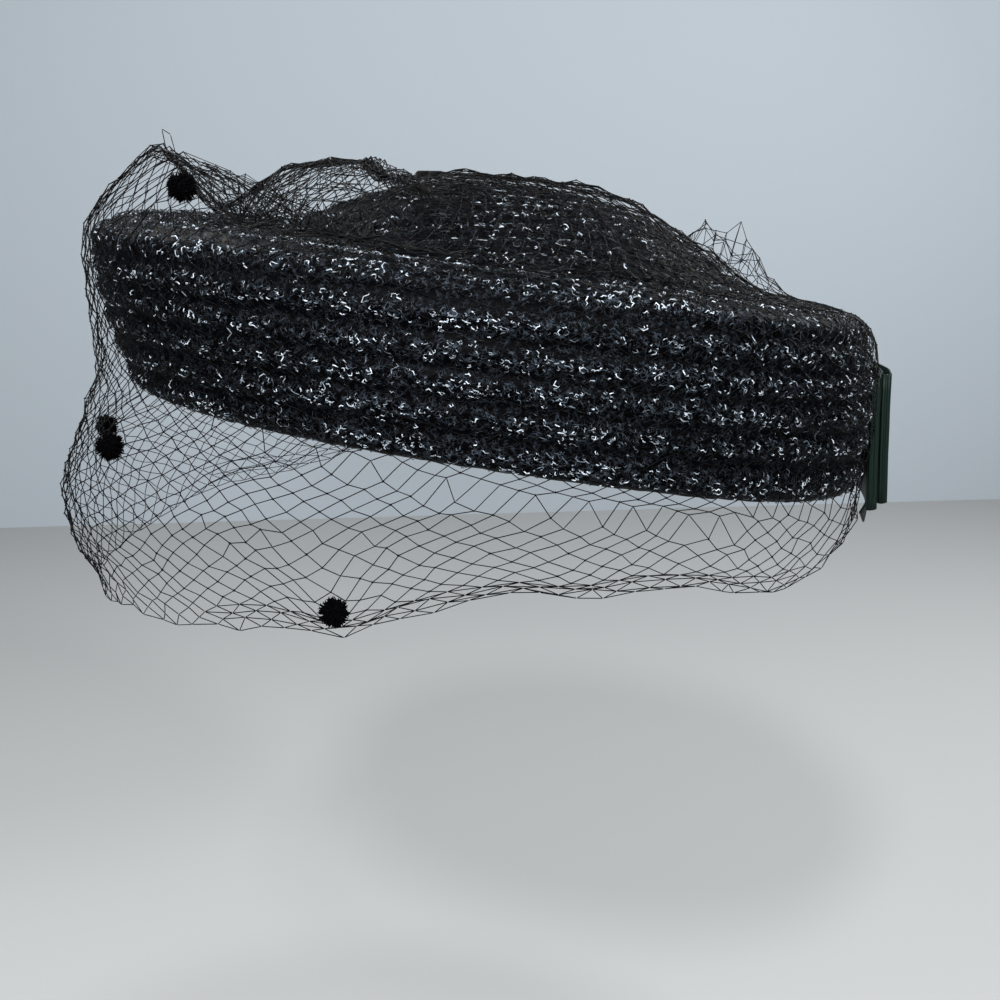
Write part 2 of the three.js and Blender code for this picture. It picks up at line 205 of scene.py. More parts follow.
# Chenille dots. Depths and lengths are shares of the pile's length, and a tuft's radius is in metres.
DOT_COUNT = 4
DOT_SEED = 40
DOT_CORE_DIVISIONS = 3
DOT_CORE_DEPTH = 0.75
DOT_CORE_ROUGHNESS = 0.06
TUFT_ROOT_DEPTH = 1.1
TUFT_LENGTHS = (0.7, 1.25)
TUFT_BEND = 0.5
TUFT_POINTS = 5
TUFT_RADIUS = 0.00019

# Bow: layers of ribbon stacked outwards from the veil. A cut is the length of ribbon that a piece takes.
BOW_FRONT_Y = 108.2
BOW_CENTRE_Z = 17.5
BOW_TILT = math.radians(12)
BOW_BEND_RADIUS = 95
RIBBON_THICKNESS = 0.0005
RIBBON_STEPS = 9
LOOPS = [
    {"name": "inner", "length": 100, "start": 0.7, "full": 3.4, "layer": 0, "cut": 203},
    {"name": "outer", "length": 88, "start": 0.9, "full": 3.0, "layer": 1, "cut": 178},
]
LOOP_INSET = 1.7
LOOP_DRAWN_IN = 1.4
LOOP_FULL_AT = 34
LOOP_FULL_POWER = 1.5
LOOP_STEPS = {"straight": 40, "end": 9}
LOOP_CUP = 0.5
LOOP_END_CUP = 0.3
LOOP_END_ROUND = 0.8
LOOP_FOLDS = {"count": 2.5, "phase": 0.6, "height": 0.35, "length": 18}
BAND = {"width": 14, "cut": 97, "inset": 1.6, "depth": 4.6, "corner": 1.6, "overlap": 1.0}
BAND_STEPS = {"corner": 5, "length": 2.5}
BAND_WAIST = 0.12
BAND_PLEATS = {"count": 3, "height": 0.3, "inner_share": -0.2}
TAIL = {"start": 31, "end": 44, "top": 5, "side_end": -3.5, "point_end": -8.5, "outset": 0.7, "lean": 0.25}
TAIL_STEPS = {"across": 14, "down": 12}
TAIL_FLAT = (13, 13.5)
TAIL_AREA = 143e-6

# Stage, in metres, and camera, whose place is in millimetres on the untipped opening. Its focal length is
# given in pixels of a picture 1000 wide.
STAGE_HALF = 4
BACKDROP_X = -1.03
STAGE_ROUGHNESS = {"floor": 0.6, "backdrop": 0.9}
SKY = {"colour": "#dfe6ee", "strength": 0.06}
LAMPS = [
    {"name": "key", "place": (0.8, -0.3, 0.75), "size": 0.14, "power": 15.0},
    {"name": "fill", "place": (0.85, 0.5, 0.55), "size": 0.14, "power": 9.0},
    {"name": "camera side", "place": (0.95, -0.2, 0.25), "size": 0.12, "power": 7.0},
    {"name": "top", "place": (0.15, 0.1, 1.0), "size": 0.16, "power": 5.0},
    {"name": "front", "place": (0.3, -0.95, 0.45), "size": 0.14, "power": 6.0},
    {"name": "back", "place": (-0.45, 0.75, 0.6), "size": 0.14, "power": 6.0},
    {"name": "far side", "place": (-0.6, -0.35, 0.7), "size": 0.14, "power": 5.0},
    {"name": "backdrop", "place": (-0.3, 0.9, 0.4), "aim": (-1.03, 0.65, 0.05), "size": 0.3, "power": 5.0},
]
CAMERA_Y = -12.7
CAMERA_Z = 61.4
CAMERA_PITCH = math.radians(12.13)
CAMERA_ROLL = math.radians(9.98)
CAMERA_TURN = math.radians(2.28)
CAMERA_FOCAL_PIXELS = 1330
CAMERA_SENSOR = 36
CAMERA_NEAR = 0.01
PICTURE_WIDTH = 1000

# Points that lie closer than this, in metres, are one point. Rows that differ by less are one row.
CROWN_SEAM = 2e-6
RIBBON_SEAM = 1e-6
SAME_ROW = 1e-6


def linear(code):
    """An sRGB hex colour as linear red, green, blue and alpha."""
    parts = [int(code[i : i + 2], 16) / 255 for i in (1, 3, 5)]
    return tuple(c / 12.92 if c <= 0.04045 else ((c + 0.055) / 1.055) ** 2.4 for c in parts) + (1.0,)


def add_node(tree, kind, settings=None, links=None):
    """Adds a shader node, sets its properties and sockets, and links other sockets to its inputs."""
    node = tree.nodes.new(kind)
    for key, value in (settings or {}).items():
        if isinstance(key, str) and hasattr(node, key):
            setattr(node, key, value)
        else:
            node.inputs[key].default_value = value
    for key, socket in (links or {}).items():
        tree.links.new(socket, node.inputs[key])
    return node


def new_material(name):
    """An empty node material and its tree."""
    material = bpy.data.materials.new(name)
    material.use_nodes = True
    material.node_tree.nodes.clear()
    return material, material.node_tree


def lerp(a, b, t):
    return a + (b - a) * t


def oval_points(front, back, half, angle):
    """Points on an oval. Angle 0 is the front and a quarter turn is the side at +X."""
    along = np.cos(angle)
    across = np.sin(angle)
    power = 2 / OVAL_POWER
    x = half * np.sign(across) * np.abs(across) ** power
    y = (front + back) / 2 - (back - front) / 2 * np.sign(along) * np.abs(along) ** power
    return x, y


def top_height(x, y):
    """Height of the flat top with its raised dome."""
    reach = np.hypot(x / DOME["half_width"], (y - DOME["centre_y"]) / DOME["half_length"])
    cap = 1 - reach ** DOME["power"]
    dome = DOME["height"] * (cap + np.hypot(cap, DOME["softness"])) / 2
    return TOP_AT_CENTRE + TOP_RISE_PER_MM * y + TOP_SIDE_ARCH * (x / TOP_EDGE["half"]) ** 2 + dome


def crown_skin(station, angle):
    """Points of the crown's plain skin, without the ribs of its rows."""
    shrink = np.clip(1 + station, 0, 1)
    on_top = np.clip(station, 0, 1)
    turn = np.clip(station - 1, 0, 1) * math.pi / 2
    share = np.clip(station - 2, 0, 1)
    inset = lerp(TOP_EDGE["half"] - FIRST_ROW_HALF, SHOULDER_RADIUS, on_top)
    inset = np.where(station > 1, SHOULDER_RADIUS * (1 - np.sin(turn)), inset)
    x, y = oval_points(TOP_EDGE["front"] + inset, TOP_EDGE["back"] - inset, TOP_EDGE["half"] - inset, angle)
    middle = (TOP_EDGE["front"] + TOP_EDGE["back"]) / 2
    x = x * shrink
    y = middle + (y - middle) * shrink
    z = top_height(x, y) - SHOULDER_RADIUS * (1 - np.cos(turn))
    bulge = WALL_BULGE * 4 * share * (1 - share)
    wall_x, wall_y = oval_points(
        lerp(TOP_EDGE["front"], RIM["front"], share) - bulge,
        lerp(TOP_EDGE["back"], RIM["back"], share) + bulge,
        lerp(TOP_EDGE["half"], RIM["half"], share) + bulge,
        angle,
    )
    edge_x, edge_y = oval_points(TOP_EDGE["front"], TOP_EDGE["back"], TOP_EDGE["half"], angle)
    rim_x, rim_y = oval_points(RIM["front"], RIM["back"], RIM["half"], angle)
    high = top_height(edge_x, edge_y) - SHOULDER_RADIUS
    rise = RIM_BACK_RISE["height"] * (np.maximum(rim_y, 0) / RIM["back"]) ** RIM_BACK_RISE["power"]
    low = RIM_AT_FRONT + RIM_SIDE_ARCH * (rim_x / RIM["half"]) ** 2 + rise
    on_wall = station > 2
    x = np.where(on_wall, wall_x, x)
    y = np.where(on_wall, wall_y, y)
    z = np.where(on_wall, lerp(high, low, share), z)
    return np.stack([x, y, z], axis=-1)


def unit(vectors):
    return vectors / np.maximum(np.linalg.norm(vectors, axis=-1, keepdims=True), 1e-9)


def row_station(row):
    return np.interp(row, [key["row"] for key in ROW_TABLE], [key["station"] for key in ROW_TABLE])


def crown_normal(row, angle):
    """Outward normals of the plain skin."""
    step = NORMAL_STEP
    safe = np.clip(row, NORMAL_FIRST_ROW, LAST_ROW - step)
    down = crown_skin(row_station(safe + step), angle) - crown_skin(row_station(safe - step), angle)
    around = crown_skin(row_station(safe), angle + step) - crown_skin(row_station(safe), angle - step)
    return unit(np.cross(down, around))


def braid_count(row, angle):
    """Which row of the spiral braid lies at a place: whole numbers are the seams between rows."""
    turn = np.mod((angle - math.pi) / (2 * math.pi), 1)
    start = LAST_ROW - CLOSING_ROWS
    closing = start + turn + (row - start) / CLOSING_ROWS * (RIM_ROW - start - turn)
    return np.where(row > start, closing, row + turn)


def crinkle(points, seed, shortest, longest, waves=14):
    """Smooth seeded noise between about -1 and 1, from waves of the given lengths in millimetres."""
    rng = np.random.default_rng(seed)
    total = np.zeros(points.shape[:-1])
    for _ in range(waves):
        direction = unit(rng.normal(size=3))
        length = rng.uniform(shortest, longest)
        total += np.sin(points @ direction * 2 * math.pi / length + rng.uniform(0, 2 * math.pi))
    return total / math.sqrt(waves)


def crest_share(row, angle):
    """0 in the seams between rows and 1 on the crests."""
    return np.abs(np.sin(math.pi * braid_count(row, angle)))


def rib_lift(row, angle, height):
    """How far the rounded rows of braid stand above the plain skin."""
    fade = np.clip((row - FIRST_ROW) / RIB_FADE_ROWS, 0, 1)
    return height * fade * crest_share(row, angle) ** RIB_ROUNDNESS


def painted_row_light(row, angle):
    """Painted light of the braid, 0 to 1: painted highlight most on the crests at the hat's two sides,
    painted shade in the seams, at the front and back and over the tip.
    """
    crest = lerp(PAINTED_LIGHT_IN_SEAM, 1, crest_share(row, angle) ** PAINTED_LIGHT_CREST_POWER)
    sideways = 0.5 + 0.5 * np.cos(2 * (angle - PAINTED_LIGHT_SIDE_ANGLE))
    facing = lerp(PAINTED_LIGHT_AT_ENDS, 1, sideways**PAINTED_LIGHT_SIDE_POWER)
    upright = np.interp(row, PAINTED_LIGHT_TIP_ROWS, (PAINTED_LIGHT_OVER_TIP, 1))
    return crest * facing * upright


def crown_surface(row, angle, height, lift=0.0):
    """Points on the ribbed crown, raised by a lift."""
    skin = crown_skin(row_station(row), angle)
    raised = rib_lift(row, angle, height) + lift
    return skin + crown_normal(row, angle) * raised[..., None]


def tipped(points):
    """Millimetres on the untipped opening to metres in the hat's own frame."""
    return points @ np.array(TIP).T * MM


def veil_levels(angle):
    """Points of the veil's levels for each angle, from the top down."""
    along = np.cos(angle)
    front = np.maximum(along, 0) ** 2
    back = np.maximum(-along, 0) ** 2
    turned = np.degrees(np.abs(np.mod(angle + math.pi, 2 * math.pi) - math.pi))
    sway = np.interp(turned, [key[0] for key in HEM_SWAY], [key[1] for key in HEM_SWAY])
    rows = [np.stack([np.full_like(angle, value) for value in VEIL_TOP], axis=-1)]
    rim = [key["name"] for key in VEIL_LEVELS].index("rim")
    for index, level in enumerate(VEIL_LEVELS):
        x, y = oval_points(level["front"], level["back"], level["half"], angle)
        z = level["z_side"] * (1 - front - back) + level["z_front"] * front + level["z_back"] * back
        hang = max(0, (index - rim) / (len(VEIL_LEVELS) - 1 - rim))
        rows.append(np.stack([x, y, z - hang * sway], axis=-1))
    return np.stack(rows)


def smooth_lines(knots, steps):
    """Smooth curves through rows of points, evenly dense between them."""
    gap = np.maximum(np.linalg.norm(np.diff(knots, axis=0), axis=-1, keepdims=True), 1e-6)
    slope = np.diff(knots, axis=0) / gap
    tangent = np.concatenate([slope[:1], slope[:-1] * 0, slope[-1:]])
    tangent[1:-1] = NET_EASE * (slope[:-1] * gap[1:] + slope[1:] * gap[:-1]) / (gap[1:] + gap[:-1])
    pieces = []
    for t in np.linspace(0, 1, steps, endpoint=False):
        start = (2 * t**3 - 3 * t**2 + 1) * knots[:-1] + (t**3 - 2 * t**2 + t) * gap * tangent[:-1]
        end = (3 * t**2 - 2 * t**3) * knots[1:] + (t**3 - t**2) * gap * tangent[1:]
        pieces.append(start + end)
    dense = np.stack(pieces, axis=1).reshape(-1, *knots.shape[1:])
    return np.concatenate([dense, knots[-1:]])


def new_object(name, mesh, material, body="root"):
    """Puts a mesh with its material in the scene, riding on its body."""
    piece = bpy.data.objects.new(name, mesh)
    bpy.context.scene.collection.objects.link(piece)
    mesh.materials.append(material)
    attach(piece, body)
    return piece


def mesh_from_arrays(name, points, triangles, values=None):
    """A smooth mesh of triangles, with one number per point as its attribute named tone."""
    mesh = bpy.data.meshes.new(name)
    mesh.vertices.add(len(points))
    mesh.vertices.foreach_set("co", np.asarray(points, dtype=np.float32).ravel())
    mesh.loops.add(triangles.size)
    mesh.loops.foreach_set("vertex_index", triangles.astype(np.int32).ravel())
    mesh.polygons.add(len(triangles))
    mesh.polygons.foreach_set("loop_start", np.arange(0, triangles.size, 3, dtype=np.int32))
    mesh.polygons.foreach_set("use_smooth", np.ones(len(triangles), dtype=bool))
    mesh.update(calc_edges=True)
    if values is not None:
        tone = mesh.attributes.new("tone", "FLOAT", "POINT")
        tone.data.foreach_set("value", np.asarray(values, dtype=np.float32))
    return mesh


def thread_arrays(paths, radius, rng, sides=3):
    """Closed threads along paths, each pointed at both ends. Paths are lines of equally many points."""
    count, steps, _ = paths.shape
    tangent = unit(np.gradient(paths, axis=1))
    lead = rng.normal(size=(count, 1, 3))
    side = unit(lead - (lead * tangent).sum(axis=-1, keepdims=True) * tangent)
    other = np.cross(tangent, side)
    inner = paths[:, 1:-1]
    rings = []
    for i in range(sides):
        turn = 2 * math.pi * i / sides
        offset = side[:, 1:-1] * math.cos(turn) + other[:, 1:-1] * math.sin(turn)
        rings.append(inner + offset * np.broadcast_to(radius, (count,))[:, None, None])
    rings = np.stack(rings, axis=2).reshape(count, -1, 3)
    points = np.concatenate([paths[:, :1], rings, paths[:, -1:]], axis=1)
    size = points.shape[1]
    faces = []
    for i in range(sides):
        j = (i + 1) % sides
        faces.append((0, 1 + j, 1 + i))
        for step in range(steps - 3):
            a = 1 + step * sides + i
            b = 1 + step * sides + j
            faces.append((a, b, b + sides))
            faces.append((a, b + sides, a + sides))
        last = 1 + (steps - 3) * sides
        faces.append((last + i, last + j, size - 1))
    faces = np.array(faces)
    triangles = (faces[None] + (np.arange(count) * size)[:, None, None]).reshape(-1, 3)
    return points.reshape(-1, 3), triangles


def knot_arrays(centres, radius, rng):
    """Small eight-faced knots."""
    corners = np.array([(1, 0, 0), (-1, 0, 0), (0, 1, 0), (0, -1, 0), (0, 0, 1), (0, 0, -1)], dtype=float)
    faces = np.array([(0, 2, 4), (2, 1, 4), (1, 3, 4), (3, 0, 4), (2, 0, 5), (1, 2, 5), (3, 1, 5), (0, 3, 5)])
    size = radius * rng.uniform(0.75, 1.25, size=(len(centres), 1, 1))
    points = centres[:, None] + corners[None] * size
    triangles = faces[None] + (np.arange(len(centres)) * len(corners))[:, None, None]
    return points.reshape(-1, 3), triangles.reshape(-1, 3)


def join_arrays(parts):
    """Several lists of points and triangles as one."""
    points = []
    triangles = []
    start = 0
    for part_points, part_triangles in parts:
        points.append(part_points)
        triangles.append(part_triangles + start)
        start += len(part_points)
    return np.concatenate(points), np.concatenate(triangles)


def opaque(colour):
    """A colour of three parts with full alpha."""
    return (*colour, 1)


# Glossy viscose straw, black with a cold cast. Fine filaments cross it, painted lighter grey as painted
# highlights where the tone carries painted light.
# They bend by about a millimetre, and two nets of them cross every 1.9 and 1.2 mm.
def straw_material(settings):
    material, tree = new_material("black glossy straw")
    place = add_node(tree, "ShaderNodeTexCoord").outputs["Object"]
    stir = add_node(tree, "ShaderNodeTexNoise", {"Scale": 1 / 0.003, "Detail": 1}, {"Vector": place})
    bent = add_node(
        tree,
        "ShaderNodeVectorMath",
        {"operation": "MULTIPLY_ADD", 1: (0.0022, 0.0022, 0.0022)},
        {0: stir.outputs["Color"], 2: place},
    )
    mask = add_node(tree, "ShaderNodeTexNoise", {"Scale": 1 / 0.0016, "Detail": 2}, {"Vector": place})
    shown = add_node(
        tree, "ShaderNodeMapRange", {"From Min": 0.42, "From Max": 0.68}, {"Value": mask.outputs["Fac"]}
    )
    nets = []
    for spacing, edge in ((0.0019, 0.075), (0.0012, 0.085)):
        cells = add_node(
            tree,
            "ShaderNodeTexVoronoi",
            {"feature": "DISTANCE_TO_EDGE", "Scale": 1 / spacing},
            {"Vector": bent.outputs[0]},
        )
        line = add_node(
            tree,
            "ShaderNodeMapRange",
            {"From Min": edge, "From Max": 0.01},
            {"Value": cells.outputs["Distance"]},
        )
        seen = add_node(
            tree, "ShaderNodeMath", {"operation": "MULTIPLY"}, {0: line.outputs[0], 1: shown.outputs[0]}
        )
        nets.append(seen.outputs[0])
    strength = add_node(tree, "ShaderNodeMath", {"operation": "MAXIMUM"}, {0: nets[0], 1: nets[1]}).outputs[0]
    # The tone carries the painted light of the rows: the filaments are painted lighter as painted highlight
    # on the crests, and darker as painted shade in the seams, at the ends and over the tip.
    tone = add_node(tree, "ShaderNodeAttribute", {"attribute_name": "tone"})
    lit = add_node(tree, "ShaderNodeMath", {"operation": "MULTIPLY"}, {0: strength, 1: tone.outputs["Fac"]})
    mix = add_node(
        tree,
        "ShaderNodeMix",
        {"data_type": "RGBA", 6: opaque(settings.straw_dark), 7: opaque(settings.straw_filament_painted_light)},
        {0: lit.outputs[0]},
    )
    bump = add_node(tree, "ShaderNodeBump", {"Strength": 0.5, "Distance": 0.0004}, {"Height": strength})
    shader = add_node(
        tree,
        "ShaderNodeBsdfPrincipled",
        {"Roughness": 0.5, "Specular IOR Level": 0.02, "IOR": 1.52},
        {"Base Color": mix.outputs[2], "Normal": bump.outputs["Normal"]},
    )
    add_node(tree, "ShaderNodeOutputMaterial", None, {"Surface": shader.outputs["BSDF"]})
    return material


# The loose curls of the same straw: flat shiny filaments. Most lie dark; some are painted grey and a few,
# on the crests of the rows, painted nearly white, as painted highlights where they would face the light.
def curl_material(settings):
    material, tree = new_material("black straw curls")
    tone = add_node(tree, "ShaderNodeAttribute", {"attribute_name": "tone"})
    # The ramp paints the tone as light: dark below 0.3, a painted half highlight at 0.72 and a painted
    # highlight at 1.
    ramp = add_node(tree, "ShaderNodeValToRGB", None, {"Fac": tone.outputs["Fac"]})
    dark, shine = ramp.color_ramp.elements
    dark.position = 0.3
    dark.color = opaque(settings.straw_dark)
    shine.position = 1.0
    shine.color = opaque(settings.straw_curl_painted_highlight)
    ramp.color_ramp.elements.new(0.72).color = opaque(settings.straw_curl_painted_half_light)
    shader = add_node(
        tree,
        "ShaderNodeBsdfPrincipled",
        {"Specular IOR Level": 0.2, "IOR": 1.52, "Roughness": 0.25},
        {"Base Color": ramp.outputs["Color"]},
    )
    add_node(tree, "ShaderNodeOutputMaterial", None, {"Surface": shader.outputs["BSDF"]})
    return material


# Stiffened nylon net: a hard thin thread, almost black, whose twist of 0.6 mm gives it a dull uneven gloss.
def net_material(settings):
    material, tree = new_material("black nylon net")
    place = add_node(tree, "ShaderNodeTexCoord")
    twist = add_node(tree, "ShaderNodeTexNoise", {"Scale": 1 / 0.0006}, {"Vector": place.outputs["Object"]})
    rough = add_node(
        tree, "ShaderNodeMapRange", {"To Min": 0.4, "To Max": 0.65}, {"Value": twist.outputs["Fac"]}
    )
    shader = add_node(
        tree,
        "ShaderNodeBsdfPrincipled",
        {"Base Color": opaque(settings.thread_colour), "Specular IOR Level": 0.06, "IOR": 1.53},
        {"Roughness": rough.outputs[0]},
    )
    add_node(tree, "ShaderNodeOutputMaterial", None, {"Surface": shader.outputs["BSDF"]})
    return material


# Cut chenille pile: short rayon tufts that take nearly all the light in, so the dots look flat black.
def chenille_material(settings):
    material, tree = new_material("black chenille pile")
    tone = add_node(tree, "ShaderNodeAttribute", {"attribute_name": "tone"})
    rough = add_node(
        tree, "ShaderNodeMapRange", {"To Min": 0.95, "To Max": 0.75}, {"Value": tone.outputs["Fac"]}
    )
    shader = add_node(
        tree,
        "ShaderNodeBsdfPrincipled",
        {"Base Color": opaque(settings.pile_colour), "Specular IOR Level": 0.02},
        {"Roughness": rough.outputs[0]},
    )
    add_node(tree, "ShaderNodeOutputMaterial", None, {"Surface": shader.outputs["BSDF"]})
    return material


# Grosgrain: a rayon ribbon with weft ribs about 1.1 mm apart, a soft silky sheen on each rib and a grain
# of threads 0.4 mm wide.
def grosgrain_material(settings):
    material, tree = new_material("dark green grosgrain")
    place = add_node(tree, "ShaderNodeTexCoord")
    ribs = add_node(
        tree,
        "ShaderNodeTexWave",
        {"bands_direction": "X", "wave_profile": "SIN", "Scale": 1 / settings.rib_pitch / 20 * 2 * math.pi},
        {"Vector": place.outputs["UV"]},
    )
    threads = add_node(
        tree, "ShaderNodeTexNoise", {"Scale": 1 / 0.0004, "Detail": 2}, {"Vector": place.outputs["Object"]}
    )
    mix = add_node(
        tree,
        "ShaderNodeMix",
        {"data_type": "RGBA", 6: opaque(settings.ribbon_dark), 7: opaque(settings.ribbon_light)},
        {0: threads.outputs["Fac"]},
    )
    grain = add_node(
        tree, "ShaderNodeBump", {"Strength": 0.25, "Distance": 0.0001}, {"Height": threads.outputs["Fac"]}
    )
    bump = add_node(
        tree,
        "ShaderNodeBump",
        {"Strength": 0.9, "Distance": 0.0003},
        {"Height": ribs.outputs["Fac"], "Normal": grain.outputs["Normal"]},
    )
    shader = add_node(
        tree,
        "ShaderNodeBsdfPrincipled",
        {"Roughness": 0.5, "Specular IOR Level": 0.12},
        {"Base Color": mix.outputs[2], "Normal": bump.outputs["Normal"]},
    )
    add_node(tree, "ShaderNodeOutputMaterial", None, {"Surface": shader.outputs["BSDF"]})
    return material


# Matt emulsion paint of the floor and the backdrop, plain all over.
def paint_material(name, colour, roughness):
    material, tree = new_material(name)
    shader = add_node(
        tree, "ShaderNodeBsdfPrincipled", {"Base Color": opaque(colour), "Roughness": roughness}
    )
    add_node(tree, "ShaderNodeOutputMaterial", None, {"Surface": shader.outputs["BSDF"]})
    return material


class HatStageSettings(bpy.types.PropertyGroup):
    camera_distance: bpy.props.FloatProperty(
        name="Camera distance",
        description="Level distance of the camera from the middle of the crown",
        default=0.4,
        unit="LENGTH",
    )
    camera_azimuth: bpy.props.FloatProperty(
        name="Camera azimuth",
        description="How far the camera stands forward of the hat's side",
        default=math.radians(10),
        subtype="ANGLE",
    )
    floor_drop: bpy.props.FloatProperty(
        name="Floor drop",
        description="How far the floor lies below the hat's opening",
        default=0.3,
        unit="LENGTH",
    )
    floor_colour: bpy.props.FloatVectorProperty(
        name="Floor colour",
        description="Colour of the floor",
        default=linear("#8e9090")[:3],
        subtype="COLOR",
    )
    wall_colour: bpy.props.FloatVectorProperty(
        name="Wall colour",
        description="Colour of the backdrop",
        default=linear("#8f979e")[:3],
        subtype="COLOR",
    )


class HatStrawSettings(bpy.types.PropertyGroup):
    rib_height: bpy.props.FloatProperty(
        name="Rib height",
        description="How far a row of braid stands above the seam beside it",
        default=0.0019,
        unit="LENGTH",
    )
    wall_thickness: bpy.props.FloatProperty(
        name="Wall thickness",
        description="Thickness of the braid wall",
        default=0.002,
        unit="LENGTH",
    )
    curl_count: bpy.props.IntProperty(
        name="Curls",
        description="How many loose curls of straw stand on the braid",
        default=34500,
    )
    curl_size: bpy.props.FloatProperty(
        name="Curl size",
        description="Typical length of one straight run of a curl",
        default=0.00041,
        unit="LENGTH",
    )
    straw_radius: bpy.props.FloatProperty(
        name="Straw radius",
        description="Half the thickness of one filament of straw",
        default=0.00012,
        unit="LENGTH",
    )
    straw_dark: bpy.props.FloatVectorProperty(
        name="Dark straw",
        description="Darkest colour of the straw",
        default=linear("#010102")[:3],
        subtype="COLOR",
    )
    # Painted highlight: this lighter colour of the body's filaments stands for light caught on the black
    # straw.
    straw_filament_painted_light: bpy.props.FloatVectorProperty(
        name="Light straw",
        description="Colour of the fine filaments on the straw's body",
        default=linear("#3b434c")[:3],
        subtype="COLOR",
    )
    # Painted half highlight on the curls.
    straw_curl_painted_half_light: bpy.props.FloatVectorProperty(
        name="Grey straw",
        description="Colour of the curls that are half turned to the light",
        default=linear("#5a646e")[:3],
        subtype="COLOR",
    )
    # Painted highlight on the curls.
    straw_curl_painted_highlight: bpy.props.FloatVectorProperty(
        name="Shining straw",
        description="Colour of the few curls that face the light",
        default=linear("#c2ccd6")[:3],
        subtype="COLOR",
    )


class HatVeilSettings(bpy.types.PropertyGroup):
    columns: bpy.props.IntProperty(
        name="Columns",
        description="Meshes of the net round the hat",
        default=92,
    )
    half_rows: bpy.props.IntProperty(
        name="Half rows",
        description="Half rows of meshes from the top to the hem",
        default=72,
    )
    thread_radius: bpy.props.FloatProperty(
        name="Thread radius",
        description="Half the thickness of the net's thread",
        default=0.00014,
        unit="LENGTH",
    )
    knot_radius: bpy.props.FloatProperty(
        name="Knot radius",
        description="Half the size of a knot",
        default=0.0003,
        unit="LENGTH",
    )
    looseness: bpy.props.FloatProperty(
        name="Looseness",
        description="How far a knot may lie from its even place",
        default=0.00035,
        unit="LENGTH",
    )
    thread_colour: bpy.props.FloatVectorProperty(
        name="Thread colour",
        description="Colour of the net",
        default=linear("#020203")[:3],
        subtype="COLOR",
    )


class HatDotSettings(bpy.types.PropertyGroup):
    tufts: bpy.props.IntProperty(
        name="Tufts",
        description="Tufts of pile on each dot",
        default=420,
    )
    pile_length: bpy.props.FloatProperty(
        name="Pile length",
        description="How far the pile stands out of the core",
        default=0.0016,
        unit="LENGTH",
    )
    pile_colour: bpy.props.FloatVectorProperty(
        name="Pile colour",
        description="Colour of the chenille",
        default=linear("#020203")[:3],
        subtype="COLOR",
    )


class HatBowSettings(bpy.types.PropertyGroup):
    ribbon_width: bpy.props.FloatProperty(
        name="Ribbon width",
        description="Width of the ribbon",
        default=0.038,
        unit="LENGTH",
    )
    rib_pitch: bpy.props.FloatProperty(
        name="Rib pitch",
        description="Distance between the ribs of the ribbon",
        default=0.0011,
        unit="LENGTH",
    )
    ribbon_dark: bpy.props.FloatVectorProperty(
        name="Dark ribbon",
        description="Darkest colour of the ribbon",
        default=linear("#030b08")[:3],
        subtype="COLOR",
    )
    ribbon_light: bpy.props.FloatVectorProperty(
        name="Light ribbon",
        description="Lightest colour of the ribbon",
        default=linear("#0a1c17")[:3],
        subtype="COLOR",
    )


